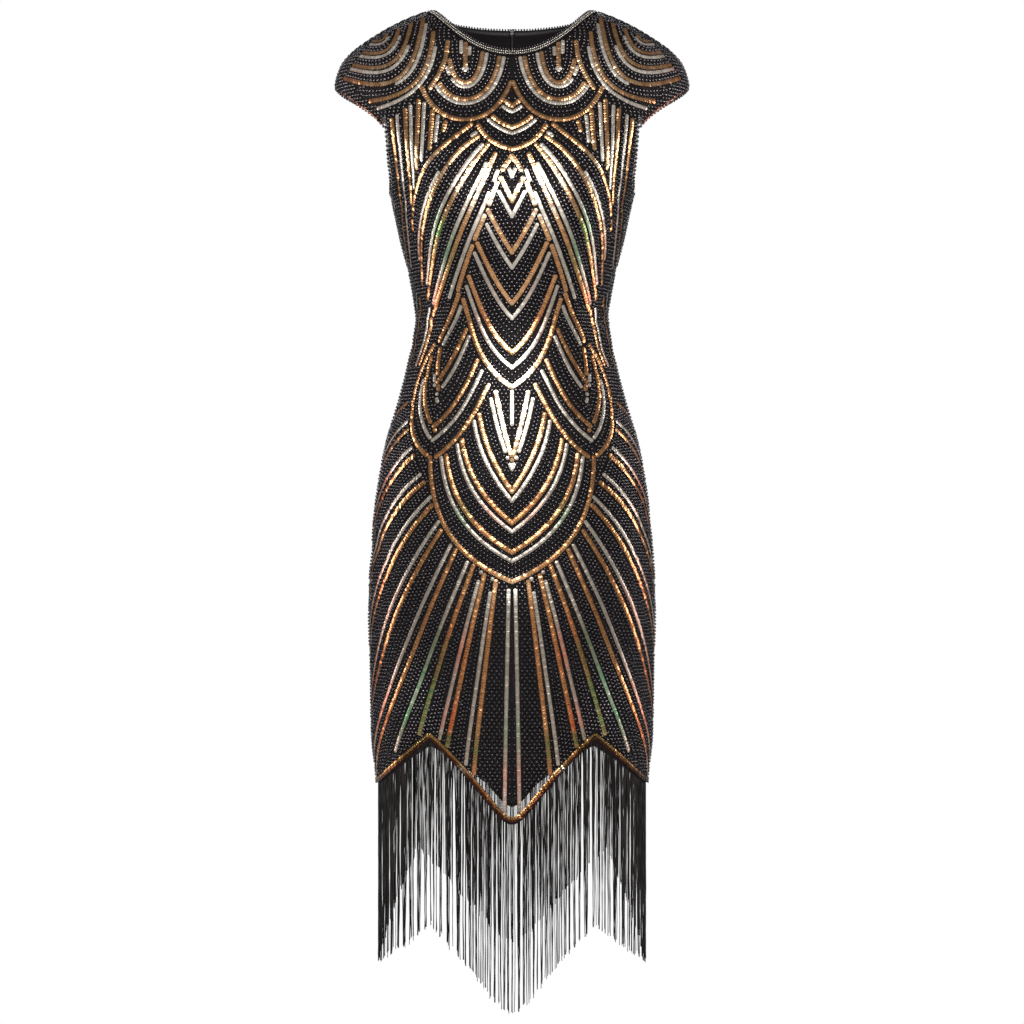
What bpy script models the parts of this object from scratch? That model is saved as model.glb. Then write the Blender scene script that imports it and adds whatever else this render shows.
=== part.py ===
"""Flapper dress: beaded tulle over a lining, with cap sleeves, a scalloped hem, fringe and a back zip.

Metres, +Z up, the front towards -Y. The origin lies midway between the shoulder points, where the
wearer carries the dress. Every cloth piece is cut from one worn form, whose points are given by a turn
about the body (0 at centre front, a quarter turn at the side, a half turn at centre back) and a height.
"""
import math

import bpy
import numpy as np

MM = 0.001
QUARTER = math.pi / 2
HALF_TURN = math.pi

# The worn form from the neck down. Columns: height, half width at the side, depth before the side,
# depth behind the side, lift of the bust.
SECTIONS = (
    (0.0195, 0.0925, 0.0520, 0.0580, 0.0000),
    (0.0165, 0.1060, 0.0545, 0.0605, 0.0000),
    (0.0100, 0.1235, 0.0580, 0.0645, 0.0000),
    (0.0035, 0.1372, 0.0610, 0.0680, 0.0000),
    (-0.0035, 0.1500, 0.0640, 0.0715, 0.0000),
    (-0.0105, 0.1613, 0.0675, 0.0745, 0.0000),
    (-0.0235, 0.1800, 0.0730, 0.0795, 0.0000),
    (-0.0370, 0.1930, 0.0780, 0.0835, 0.0000),
    (-0.0510, 0.1995, 0.0830, 0.0865, 0.0010),
    (-0.0650, 0.2025, 0.0870, 0.0890, 0.0020),
    (-0.0900, 0.1980, 0.0940, 0.0930, 0.0040),
    (-0.1134, 0.1860, 0.1010, 0.0950, 0.0060),
    (-0.1400, 0.1680, 0.1080, 0.0950, 0.0090),
    (-0.1650, 0.1505, 0.1130, 0.0930, 0.0110),
    (-0.1870, 0.1398, 0.1160, 0.0905, 0.0120),
    (-0.2050, 0.1353, 0.1165, 0.0880, 0.0120),
    (-0.2400, 0.1276, 0.1120, 0.0810, 0.0090),
    (-0.2860, 0.1161, 0.1000, 0.0710, 0.0030),
    (-0.3320, 0.1104, 0.0885, 0.0665, 0.0000),
    (-0.3780, 0.1178, 0.0890, 0.0760, 0.0000),
    (-0.4240, 0.1293, 0.0930, 0.0920, 0.0000),
    (-0.4700, 0.1431, 0.0960, 0.1050, 0.0000),
    (-0.5160, 0.1523, 0.0990, 0.1140, 0.0000),
    (-0.5620, 0.1583, 0.1000, 0.1170, 0.0000),
    (-0.6080, 0.1618, 0.1010, 0.1150, 0.0000),
    (-0.6540, 0.1638, 0.1010, 0.1110, 0.0000),
    (-0.7400, 0.1618, 0.0990, 0.1060, 0.0000),
    (-0.8150, 0.1600, 0.0980, 0.1020, 0.0000),
    (-0.8600, 0.1553, 0.0970, 0.1000, 0.0000),
    (-0.9000, 0.1548, 0.0970, 0.1000, 0.0000),
)
FULLNESS = 0.15                     # how much squarer than an ellipse a section is
BUST_TURN = math.radians(33)
BUST_SPREAD = math.radians(20)

# The sleeve seam and, below it, the open armhole. Columns: height, half width.
ARM_LINE = (
    (0.0000, 0.1480),
    (-0.0600, 0.1455),
    (-0.1165, 0.1425),
    (-0.1400, 0.1410),
    (-0.1600, 0.1400),
    (-0.1750, 0.1388),
    (-0.1870, 0.1398),
)
SHOULDER_POINT = 0.148              # half width at which sleeve seam and shoulder seam meet
UNDERARM = -0.187
CAP_TIP = -0.065                    # lowest height of the cap at the side
# Where the cap's edge meets the armhole before and behind the shoulder. Columns: height of the sleeve
# seam's end, height of the cap's edge, its turn from the centre.
CAP_FEET = (
    (-0.1165, -0.1195, math.radians(52.8)),
    (-0.0850, -0.0895, math.radians(51.5)),
)

NECK_HALF_WIDTH = 0.0925
NECK_FRONT = -0.0363                # height of the neckline at centre front
NECK_BACK = 0.0130                  # and at centre back
NECK_SWELL = 0.35                   # how full the neckline's curve is before the shoulder
BINDING_WIDTH = 6.0 * MM
TOP_ROWS_DEPTH = 0.030              # depth at the centre of the rows that follow the neckline

# Hem scallops. Columns: height at the centre tip, height at the peak, turn of the peak.
FRONT_HEM = (-0.8970, -0.8050, math.radians(35))
BACK_HEM = (-0.8530, -0.7420, math.radians(44))
FRONT_LINING_HEM = (-0.8690, -0.8137, math.radians(35))
BACK_LINING_HEM = (-0.8290, -0.7510, math.radians(44))
SIDE_TIP = -0.8630
LINING_SIDE_TIP = -0.8580
TIP_ROUND = 0.18                    # roundness of a scallop's tip, as a share of its half width
SCALLOP_SWELL = 0.35
HEM_BAND_WIDTH = 5.5 * MM

# The layers, as distances from the form's surface: outer face, inner face. Outwards is positive.
SEAM = 0.3 * MM                     # gap between pieces that are sewn together
TULLE = (0.0, -1.0 * MM)
BAND = (1.3 * MM, SEAM)
INSERT = (-1.3 * MM, -2.1 * MM)     # fringe heading and zip tapes
LINING = (-2.4 * MM, -3.4 * MM)
BINDING = (0.2 * MM, -2.1 * MM)

HALF_COLUMNS = 10                   # columns from the centre to a side
SKIRT_ROWS = 15                     # rows from the hem band to the underarm
EDGE_HEIGHTS = (-0.180, -0.166, -0.146, -0.1165, -0.085, -0.052, -0.026, -0.010)
NECK_ROWS = 3
SLEEVE_ROWS = 4

# Fringe
STRANDS = 120                       # on each of front and back
STRAND_WIDTH = 1.0 * MM
FRINGE_LENGTH = 0.212               # at the centre
SIDE_FRINGE_LENGTH = 0.203
FRINGE_TAPER = 0.6
HEADING_DROP = 0.5 * MM             # how far the heading shows below the cloth
END_STAGGER = 5.0 * MM              # how far the ends differ in height
END_LEAN = 0.35                     # how far they sway along the hem, as a share of the pitch

# Zip at centre back
ZIP_GAP = 2.1 * MM                  # half the gap between the back panels along the zip
TAPE_EDGE = 1.8 * MM
TAPE_WIDTH = 12.0 * MM              # from the centre
COIL_HALF_WIDTH = 1.5 * MM
COIL = (-0.6 * MM, -1.9 * MM)
ZIP_LAST_ROW = 11                   # row of the back panels where the zip ends
SLIDER_BELOW_NECK = 9.0 * MM
PULL_PIVOT = (-0.6 * MM, 2.1 * MM)  # along the zip and out from the cloth, from the slider's middle
# Boxes fused into the slider and the pull tab, in millimetres from the slider's middle. Columns: range
# across the zip, range up along it, range out from the cloth.
SLIDER_BOXES = (
    ((-3.0, 3.0), (-4.5, 4.5), (0.5, 1.2)),      # plate
    ((-1.2, 1.2), (-4.5, 4.5), (-0.3, 0.5)),     # keel between the panels
    ((-0.5, 0.5), (-2.3, -1.6), (1.2, 3.7)),     # bridge, lower post
    ((-0.5, 0.5), (2.8, 3.6), (1.2, 3.7)),       # bridge, upper post
    ((-0.5, 0.5), (-1.6, 2.8), (3.0, 3.7)),      # bridge, bar
)
PULL_BOXES = (
    ((-2.2, 2.2), (-1.0, -0.2), (1.7, 2.5)),     # bar under the bridge
    ((-2.2, -1.2), (-4.9, -1.0), (1.7, 2.5)),    # left edge of the window
    ((1.2, 2.2), (-4.9, -1.0), (1.7, 2.5)),      # right edge of the window
    ((-2.2, 2.2), (-16.0, -4.9), (1.7, 2.5)),    # tab
)

# Colour, metallic and roughness of each material.
FINISHES = {
    "beaded_tulle": ((0.050, 0.038, 0.034), 0.1, 0.45),
    "satin_lining": ((0.012, 0.011, 0.012), 0.0, 0.35),
    "silver_binding": ((0.330, 0.300, 0.270), 0.6, 0.35),
    "gold_sequins": ((0.450, 0.270, 0.110), 0.8, 0.30),
    "rayon_fringe": ((0.018, 0.015, 0.015), 0.0, 0.40),
    "zip_tape": ((0.014, 0.013, 0.014), 0.0, 0.80),
    "zip_coil": ((0.020, 0.019, 0.020), 0.0, 0.45),
    "zip_metal": ((0.055, 0.052, 0.050), 0.8, 0.35),
}


def through_rows(table):
    """Returns a function of height that gives the table's other columns, on cubics through its rows."""
    rows = np.array(sorted(table))
    heights, values = rows[:, 0], rows[:, 1:]
    slopes = np.gradient(values, heights, axis=0)

    def at(height):
        height = np.clip(height, heights[0], heights[-1])
        k = np.clip(np.searchsorted(heights, height, side="right") - 1, 0, len(heights) - 2)
        span = heights[k + 1] - heights[k]
        t = ((height - heights[k]) / span)[..., None]
        span = span[..., None]
        start = (1 + 2 * t) * (1 - t) ** 2 * values[k] + t * (1 - t) ** 2 * span * slopes[k]
        end = t ** 2 * (3 - 2 * t) * values[k + 1] + t ** 2 * (t - 1) * span * slopes[k + 1]
        return np.moveaxis(start + end, -1, 0)

    return at


section = through_rows(SECTIONS)
arm_line = through_rows(ARM_LINE)


def half_width(height):
    return section(np.asarray(height, float))[0]


def ridge_height(x):
    """Height at which the shoulder ridge is this far from the middle."""
    heights = np.linspace(-0.05, SECTIONS[0][0], 400)
    return np.interp(-x, -half_width(heights), heights)


def form(turn, height):
    """Points of the worn form: squared half ellipses before and behind the side, and the bust."""
    turn, height = np.broadcast_arrays(np.asarray(turn, float), np.asarray(height, float))
    width, front, back, bust = section(height)
    depth = np.where(np.cos(turn) > 0, front, back)
    lobes = sum(np.exp(-((turn - side * BUST_TURN) / BUST_SPREAD) ** 2) for side in (-1, 1))
    y = -depth * np.cos(turn) * (1 + FULLNESS * np.sin(turn) ** 2) - bust * lobes
    return np.stack([width * np.sin(turn), y, height], axis=-1)


def outward(turn, height):
    """Unit normals of the form, from its changes with turn and height."""
    step = 1e-4
    around = form(turn + step, height) - form(turn - step, height)
    upward = form(turn, height + step) - form(turn, height - step)
    normal = np.cross(around, upward)
    return normal / np.linalg.norm(normal, axis=-1, keepdims=True)


def layer(grid, out):
    """Points of a grid of turns and heights, moved out from the form."""
    turn, height = grid
    return form(turn, height) + out * outward(turn, height)


def turn_at(x, height):
    return np.arcsin(np.clip(x / half_width(height), -1, 1))


def scallop(turn, hem, side_tip):
    """Hem height: a rounded tip that swells up to the peak, then straight down to the side tip."""
    tip, peak, peak_turn = hem
    t = np.clip(turn / peak_turn, 0, 1)
    rise = (np.hypot(t, TIP_ROUND) - TIP_ROUND) / (math.hypot(1, TIP_ROUND) - TIP_ROUND)
    rise = rise + SCALLOP_SWELL * rise * (1 - rise)
    fall = np.clip((np.sin(turn) - math.sin(peak_turn)) / (1 - math.sin(peak_turn)), 0, 1)
    return tip + (peak - tip) * rise + (side_tip - peak) * fall


def band_rise(turn, height):
    """Upright height of the hem band, which keeps its width square to the slanting hem."""
    along = np.gradient(form(turn, height), axis=0)
    return HEM_BAND_WIDTH * np.linalg.norm(along, axis=1) / np.linalg.norm(along[:, :2], axis=1)


def neck_curve(s, widen, centre):
    """Turns and heights of a curve round the neck, widened down from the neckline. s is 0 to 1."""
    half = NECK_HALF_WIDTH + widen
    share = np.sin(s * QUARTER)
    rise = share ** 2 + NECK_SWELL * share ** 4 * (1 - share ** 2)
    height = (centre - widen) + (ridge_height(half) - centre + widen) * rise
    return turn_at(half * share, height), height


def seam_turn(height, depth_column):
    """The small turn that half a seam's gap takes at the side."""
    depth = section(np.asarray(height, float))[depth_column]
    return SEAM / 2 / (depth * (1 + FULLNESS))


def half_panel(hem, neck_centre, depth_column):
    """Turns from the centre and heights of half a panel's grid. Rows go up and columns to the side."""
    s = np.linspace(0, 1, HALF_COLUMNS + 1)
    turn = s * QUARTER
    foot = scallop(turn, hem, SIDE_TIP)
    above_band = foot + band_rise(turn, foot)
    turns, heights = [turn], [foot]
    for row in range(SKIRT_ROWS + 1):
        turns.append(turn)
        heights.append(above_band + (UNDERARM - above_band) * row / SKIRT_ROWS)
    top_edge = float(ridge_height(SHOULDER_POINT - SEAM / 2))
    top_centre = neck_centre - TOP_ROWS_DEPTH
    for edge in EDGE_HEIGHTS + (top_edge,):
        share = (edge - UNDERARM) / (top_edge - UNDERARM)
        centre = UNDERARM + (top_centre - UNDERARM) * share
        height = centre + (edge - centre) * s ** 1.5
        reach = float(arm_line(np.asarray(edge))[0]) - SEAM / 2
        row_turn = turn_at(reach * np.sin(turn), height)
        if edge == top_edge:
            row_turn[-1] = QUARTER
        turns.append(row_turn)
        heights.append(height)
    neck_turn, neck_height = neck_curve(s, BINDING_WIDTH + SEAM, neck_centre)
    neck_turn[-1] = QUARTER
    last_turn, last_height = turns[-1], heights[-1]
    for row in range(1, NECK_ROWS + 1):
        turns.append(last_turn + (neck_turn - last_turn) * row / NECK_ROWS)
        heights.append(last_height + (neck_height - last_height) * row / NECK_ROWS)
    turns, heights = np.array(turns), np.array(heights)
    at_side = turns[:, -1] > QUARTER - 1e-6
    turns[at_side, -1] -= seam_turn(heights[at_side, -1], depth_column)
    return turns, heights


def along_zip(grid):
    """Moves the two columns nearest centre back: off the zip, and to the edge of its tape."""
    turns, heights = grid[0].copy(), grid[1]
    rows = np.arange(len(turns))
    opening = np.where(rows >= ZIP_LAST_ROW, ZIP_GAP, SEAM / 2)
    turns[:, 0] = turn_at(opening, heights[:, 0])
    turns[:, 1] = turn_at(TAPE_WIDTH, heights[:, 1])
    return turns, heights


def both_sides(grid):
    """A front grid from its right half, mirrored about centre front."""
    turns, heights = grid
    return np.hstack([-turns[:, :0:-1], turns]), np.hstack([heights[:, :0:-1], heights])


def on_back(grid, side):
    """A back grid, with turns from centre back, as turns about the body on the right (1) or left."""
    turns, heights = grid
    if side > 0:
        return HALF_TURN - turns[:, ::-1], heights[:, ::-1]
    return turns - HALF_TURN, heights


def finish(name):
    """A material by its name in FINISHES."""
    if name in bpy.data.materials:
        return bpy.data.materials[name]
    colour, metallic, roughness = FINISHES[name]
    material = bpy.data.materials.new(name)
    material.use_nodes = True
    shader = material.node_tree.nodes["Principled BSDF"]
    shader.inputs["Base Color"].default_value = (*colour, 1)
    shader.inputs["Metallic"].default_value = metallic
    shader.inputs["Roughness"].default_value = roughness
    return material


def add_solid(name, points, faces, material):
    mesh = bpy.data.meshes.new(name)
    mesh.from_pydata([tuple(p) for p in points], [], faces)
    mesh.materials.append(finish(material))
    mesh.shade_smooth()
    mesh.set_sharp_from_angle(angle=math.radians(40))
    piece = bpy.data.objects.new(name, mesh)
    bpy.context.scene.collection.objects.link(piece)
    return piece


def split(a, b, c, d):
    """Two triangles of a four-sided face, always on the same diagonal."""
    return [(a, b, c), (a, c, d)]


def split_other_way(a, b, c, d):
    return [(a, b, d), (b, c, d)]


def add_wall(name, outer, inner, material):
    """A closed wall between two grids of points of the same shape.

    The left side's diagonals mirror the right side's, and both faces of the wall share them, so that
    layers made from one grid stay parallel."""
    rows, columns = outer.shape[:2]
    index = np.arange(rows * columns).reshape(rows, columns)
    back = index + rows * columns
    faces = []
    for i in range(rows - 1):
        for j in range(columns - 1):
            cell = index[i, j], index[i, j + 1], index[i + 1, j + 1], index[i + 1, j]
            on_right = outer[i, j, 0] + outer[i, j + 1, 0] > 0
            pair = split_other_way(*cell) if on_right else split(*cell)
            faces += pair
            faces += [tuple(v + rows * columns for v in face[::-1]) for face in pair]
    rim = [*index[0], *index[1:, -1], *index[-1, -2::-1], *index[-2:0:-1, 0]]
    far = [*back[0], *back[1:, -1], *back[-1, -2::-1], *back[-2:0:-1, 0]]
    for k, start in enumerate(rim):
        following = (k + 1) % len(rim)
        faces += split(start, far[k], far[following], rim[following])
    points = np.concatenate([outer.reshape(-1, 3), inner.reshape(-1, 3)])
    return add_solid(name, points, [tuple(int(v) for v in f) for f in faces], material)


def add_cloth(name, grid, depths, material):
    return add_wall(name, layer(grid, depths[0]), layer(grid, depths[1]), material)


def lining_grid(half, hem, neck_centre):
    """The lining's half grid: its own hem and neck edge, and the panel's rows between them."""
    turns, heights = half
    s = np.linspace(0, 1, HALF_COLUMNS + 1)
    foot = scallop(s * QUARTER, hem, LINING_SIDE_TIP)
    neck_turn, neck_height = neck_curve(s, SEAM, neck_centre)
    neck_turn[-1] = turns[-1, -1]
    turns = np.vstack([turns[:1], turns[2:], neck_turn])
    heights = np.vstack([foot, heights[2:], neck_height])
    return turns, heights


def add_sleeve(side, front, back):
    """Cap sleeve between its seam, at the heights of the panels' rows, and its free edge."""
    halves = []
    for (_, heights), (seam_foot, edge_foot, foot_turn) in zip((front, back), CAP_FEET):
        first = SKIRT_ROWS + 2 + EDGE_HEIGHTS.index(seam_foot)
        height = heights[first:SKIRT_ROWS + 3 + len(EDGE_HEIGHTS), -1].copy()
        height[-1] = ridge_height(SHOULDER_POINT + SEAM / 2)
        turn = turn_at(arm_line(height)[0] + SEAM / 2, height)
        turn[-1] = QUARTER
        lengths = np.linalg.norm(np.diff(form(turn, height), axis=0), axis=1)
        t = 1 - np.concatenate([[0], np.cumsum(lengths)]) / lengths.sum()
        edge_turn = foot_turn + (QUARTER - foot_turn) * (1 - t) ** 1.6
        edge_height = CAP_TIP + (edge_foot - CAP_TIP) * t ** 1.25
        share = np.linspace(1, 0, SLEEVE_ROWS + 1)[:, None]
        halves.append((turn + (edge_turn - turn) * share, height + (edge_height - height) * share))
    (turns, heights), (back_turns, back_heights) = halves
    turns = np.hstack([turns, HALF_TURN - back_turns[:, -2::-1]])
    heights = np.hstack([heights, back_heights[:, -2::-1]])
    if side < 0:
        turns, heights = -turns[:, ::-1], heights[:, ::-1]
    name = "sleeve_right" if side > 0 else "sleeve_left"
    return add_cloth(name, (turns, heights), TULLE, "beaded_tulle")


def add_neck_binding():
    """A narrow strip round the neck, open at the zip."""
    s = np.linspace(0, 1, HALF_COLUMNS + 1)
    rows = []
    for widen in (BINDING_WIDTH, 0.0):
        front_turn, front_height = neck_curve(s, widen, NECK_FRONT)
        back_turn, back_height = neck_curve(s, widen, NECK_BACK)
        back_turn[0] = turn_at(ZIP_GAP, back_height[:1])[0]
        back_turn[1] = turn_at(TAPE_WIDTH, back_height[1:2])[0]
        right_turn = np.concatenate([front_turn, HALF_TURN - back_turn[-2::-1]])
        right_height = np.concatenate([front_height, back_height[-2::-1]])
        rows.append((np.concatenate([-right_turn[:0:-1], right_turn]),
                     np.concatenate([right_height[:0:-1], right_height])))
    turns, heights = (np.array(values) for values in zip(*rows))
    return add_cloth("neck_binding", (turns, heights), BINDING, "silver_binding")


def add_hem_band(name, grids):
    """The band on the outside of the cloth's two lowest rows, across all the panels given."""
    outer, inner = (np.concatenate([layer((t[:2], h[:2]), out) for t, h in grids], axis=1) for out in BAND)
    return add_wall(name, outer, inner, "gold_sequins")


def between_columns(points, columns, places):
    """Points at places along a row of points, on the straight lines between them."""
    return np.stack([np.interp(places, columns, points[:, axis]) for axis in range(3)], axis=-1)


def add_fringe(name, grids):
    """A heading strip behind the hem and the strands that hang from it, as one closed body.

    Each strand is a three-sided prism. Its root is two corners of the heading's outer bottom edge and
    one of the inner edge, so strands and heading share their corners."""
    corner = [np.concatenate([layer((t[:2], h[:2]), out) for t, h in grids], axis=1) for out in INSERT]
    outer_bottom, outer_top, inner_bottom, inner_top = corner[0][0], corner[0][1], corner[1][0], corner[1][1]
    columns = np.linalg.norm(np.diff(outer_bottom, axis=0), axis=1)
    columns = np.concatenate([[0], np.cumsum(columns)])
    drop = np.array([0, 0, HEADING_DROP])
    edges = np.linspace(0, columns[-1], STRANDS + 1)
    centres = (edges[:-1] + edges[1:]) / 2
    tops = between_columns(outer_top, columns, edges)
    inner_tops = between_columns(inner_top, columns, edges)
    lefts = between_columns(outer_bottom, columns, centres - STRAND_WIDTH / 2) - drop
    rights = between_columns(outer_bottom, columns, centres + STRAND_WIDTH / 2) - drop
    middles = between_columns(inner_bottom, columns, centres) - drop
    end_outer = outer_bottom[[0, -1]] - drop
    end_inner = inner_bottom[[0, -1]] - drop

    number = np.arange(STRANDS) - (STRANDS - 1) / 2
    stagger = END_STAGGER / 2 * (np.cos(2.1 * number) + np.cos(5.3 * number))
    lean = np.gradient(between_columns(outer_bottom, columns, centres), axis=0)
    lean *= END_LEAN * np.sin(0.9 * number)[:, None]
    lean[:, 2] = 0
    to_side = np.abs(lefts[:, 0]) / np.abs(lefts[:, 0]).max()
    length = FRINGE_LENGTH + (SIDE_FRINGE_LENGTH - FRINGE_LENGTH) * to_side + stagger
    fall = length[:, None] * np.array([0, 0, 1])
    centre = (lefts + rights + middles) / 3
    tips = [centre + (root - centre) * FRINGE_TAPER - fall + lean for root in (lefts, rights, middles)]

    points, faces = [], []

    def place(group):
        first = len(points)
        points.extend(group)
        return np.arange(first, len(points))

    top, inner_top = place(tops), place(inner_tops)
    left, right, middle = place(lefts), place(rights), place(middles)
    tip_left, tip_right, tip_middle = (place(tip) for tip in tips)
    outer_end, inner_end = place(end_outer), place(end_inner)
    for j in range(STRANDS):
        faces += split(inner_top[j], top[j], top[j + 1], inner_top[j + 1])
        faces += [(left[j], right[j], top[j])]
        faces += [(right[j], top[j + 1], top[j])]
        faces += split(left[j], tip_left[j], tip_right[j], right[j])
        faces += split(right[j], tip_right[j], tip_middle[j], middle[j])
        faces += split(middle[j], tip_middle[j], tip_left[j], left[j])
        faces += [(tip_left[j], tip_middle[j], tip_right[j])]
        faces += [(middle[j], inner_top[j], inner_top[j + 1])]
        if j < STRANDS - 1:
            faces += [(right[j], left[j + 1], top[j + 1])]
            faces += [(middle[j], inner_top[j + 1], middle[j + 1])]
            faces += split(right[j], middle[j], middle[j + 1], left[j + 1])
    faces += [(outer_end[0], left[0], top[0]), (right[-1], outer_end[1], top[-1])]
    faces += [(inner_end[0], inner_top[0], middle[0]), (middle[-1], inner_top[-1], inner_end[1])]
    faces += split(outer_end[0], inner_end[0], middle[0], left[0])
    faces += split(right[-1], middle[-1], inner_end[1], outer_end[1])
    faces += split(outer_end[0], top[0], inner_top[0], inner_end[0])
    faces += split(outer_end[1], inner_end[1], inner_top[-1], top[-1])
    return add_solid(name, points, [tuple(int(v) for v in face) for face in faces], "rayon_fringe")


def add_zip_strips(back):
    """Two tapes behind the back panels' edges, and the coil between them."""
    turns, heights = (values[ZIP_LAST_ROW:, :2] for values in back)
    tape_turns = turns.copy()
    tape_turns[:, 0] = turn_at(TAPE_EDGE, heights[:, 0])
    tape = (tape_turns, heights)
    add_cloth("zip_tape_right", on_back(tape, 1), INSERT, "zip_tape")
    add_cloth("zip_tape_left", on_back(tape, -1), INSERT, "zip_tape")
    coil_turn = turn_at(COIL_HALF_WIDTH, heights[:, 0])
    coil_turns = np.stack([HALF_TURN - coil_turn, np.full_like(coil_turn, HALF_TURN),
                           HALF_TURN + coil_turn], axis=1)
    coil_heights = np.repeat(heights[:, :1], 3, axis=1)
    add_cloth("zip_coil", (coil_turns, coil_heights), COIL, "zip_coil")


def fused_boxes(ranges):
    """Points and faces of the union of boxes, from the cells that their own planes cut."""
    boxes = np.swapaxes(ranges, 1, 2) * MM
    planes = [sorted({float(v) for v in boxes[:, :, axis].ravel()}) for axis in range(3)]
    count = [len(p) - 1 for p in planes]
    filled = np.zeros([c + 2 for c in count], bool)
    for low, high in boxes:
        first = [planes[a].index(float(low[a])) + 1 for a in range(3)]
        last = [planes[a].index(float(high[a])) + 1 for a in range(3)]
        filled[first[0]:last[0], first[1]:last[1], first[2]:last[2]] = True
    points, faces, known = [], [], {}

    def corner(cell):
        if cell not in known:
            known[cell] = len(points)
            points.append([planes[a][cell[a] - 1] for a in range(3)])
        return known[cell]

    for cell in zip(*np.nonzero(filled)):
        for axis in range(3):
            second, third = (axis + 1) % 3, (axis + 2) % 3
            for way in (0, 1):
                beyond = list(cell)
                beyond[axis] += 2 * way - 1
                if filled[tuple(beyond)]:
                    continue
                ring = []
                for u, v in ((0, 0), (1, 0), (1, 1), (0, 1)):
                    place = [int(c) for c in cell]
                    place[axis] += way
                    place[second] += u
                    place[third] += v
                    ring.append(corner(tuple(place)))
                faces.append(tuple(ring if way else ring[::-1]))
    return np.array(points), faces


def at_slider(points):
    """Places points given across, along and out from the cloth at the slider's middle."""
    height = np.array(NECK_BACK - SLIDER_BELOW_NECK)
    origin = form(HALF_TURN, height)
    out = outward(HALF_TURN, height)
    across = np.array([-1.0, 0, 0])
    frame = np.stack([across, np.cross(out, across), out])
    return origin + np.asarray(points) @ frame


def add_zip_slider():
    """The slider's plate, its keel between the panels, and the bridge that holds the pull tab."""
    points, faces = fused_boxes(SLIDER_BOXES)
    return add_solid("zip_slider", at_slider(points), faces, "zip_metal")


def add_zip_pull():
    """A flat tab whose window lets the bridge through. Its origin is on the hinge's axis."""
    points, faces = fused_boxes(PULL_BOXES)
    pivot = at_slider([0, *PULL_PIVOT])
    pull = add_solid("zip_pull", at_slider(points) - pivot, faces, "zip_metal")
    pull.location = pivot
    return pull


def build():
    for old in list(bpy.data.objects):
        bpy.data.objects.remove(old, do_unlink=True)
    front = half_panel(FRONT_HEM, NECK_FRONT, 1)
    back = along_zip(half_panel(BACK_HEM, NECK_BACK, 2))
    whole_front = both_sides(front)
    back_left, back_right = on_back(back, -1), on_back(back, 1)
    add_cloth("front_panel", whole_front, TULLE, "beaded_tulle")
    add_cloth("back_panel_left", back_left, TULLE, "beaded_tulle")
    add_cloth("back_panel_right", back_right, TULLE, "beaded_tulle")
    for side in (-1, 1):
        add_sleeve(side, front, back)
    add_neck_binding()

    front_lining = lining_grid(front, FRONT_LINING_HEM, NECK_FRONT)
    back_lining = lining_grid(back, BACK_LINING_HEM, NECK_BACK)
    back_lining[0][-1, :2] = turn_at(np.array([ZIP_GAP, TAPE_WIDTH]), back_lining[1][-1, :2])
    add_cloth("lining_front", both_sides(front_lining), LINING, "satin_lining")
    add_cloth("lining_back_left", on_back(back_lining, -1), LINING, "satin_lining")
    add_cloth("lining_back_right", on_back(back_lining, 1), LINING, "satin_lining")

    whole_back = (back_right, (back_left[0] + 2 * HALF_TURN, back_left[1]))
    add_hem_band("hem_band_front", [whole_front])
    add_hem_band("hem_band_back", whole_back)
    add_fringe("fringe_front", [whole_front])
    add_fringe("fringe_back", whole_back)

    add_zip_strips(back)
    add_zip_slider()
    add_zip_pull()


build()
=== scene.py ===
# %% [markdown]
# # A beaded flapper dress
#
# The real dress is a close-fitting sheath of fine black net over a satin lining. Rows of black
# beads and of gold and silver sequins cover the net in scallops, chevrons and fan rays. A
# scalloped hem ends in a long fringe, the sleeves are small caps, and a zip closes the back.
#
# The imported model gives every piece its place. It is loaded first, because each new piece has to
# sit where its plain stand-in does.

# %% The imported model
import math

import bmesh
import bpy
import numpy as np
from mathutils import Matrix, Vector


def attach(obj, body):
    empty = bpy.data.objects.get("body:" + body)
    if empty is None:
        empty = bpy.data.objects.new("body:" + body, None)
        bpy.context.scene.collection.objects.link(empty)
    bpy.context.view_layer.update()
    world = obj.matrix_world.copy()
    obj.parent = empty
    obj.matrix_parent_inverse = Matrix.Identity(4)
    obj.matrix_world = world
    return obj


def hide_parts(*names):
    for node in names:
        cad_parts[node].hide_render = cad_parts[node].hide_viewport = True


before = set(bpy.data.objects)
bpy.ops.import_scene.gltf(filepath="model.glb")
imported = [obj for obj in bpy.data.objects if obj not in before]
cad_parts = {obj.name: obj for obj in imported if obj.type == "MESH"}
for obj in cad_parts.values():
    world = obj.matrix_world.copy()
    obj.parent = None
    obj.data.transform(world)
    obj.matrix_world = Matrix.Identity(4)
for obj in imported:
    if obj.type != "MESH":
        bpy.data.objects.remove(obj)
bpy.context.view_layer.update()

MM = 0.001
QUARTER = math.pi / 2
HALF_TURN = math.pi
FIXED_SEED = 7
STEP = 1e-4                         # a very small step, for the slope of a surface

# %% [markdown]
# ## The worn form
#
# A maker shapes the dress with darts and seams so that it follows the body. Its surface could be
# sculpted by hand, but every cloth piece, bead and sequin has to lie on the same surface. So one
# function gives that surface: a point is named by a turn about the body (0 at centre front, a
# quarter turn at the side, a half turn at centre back) and a height. A short table of sections
# shapes it.

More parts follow.
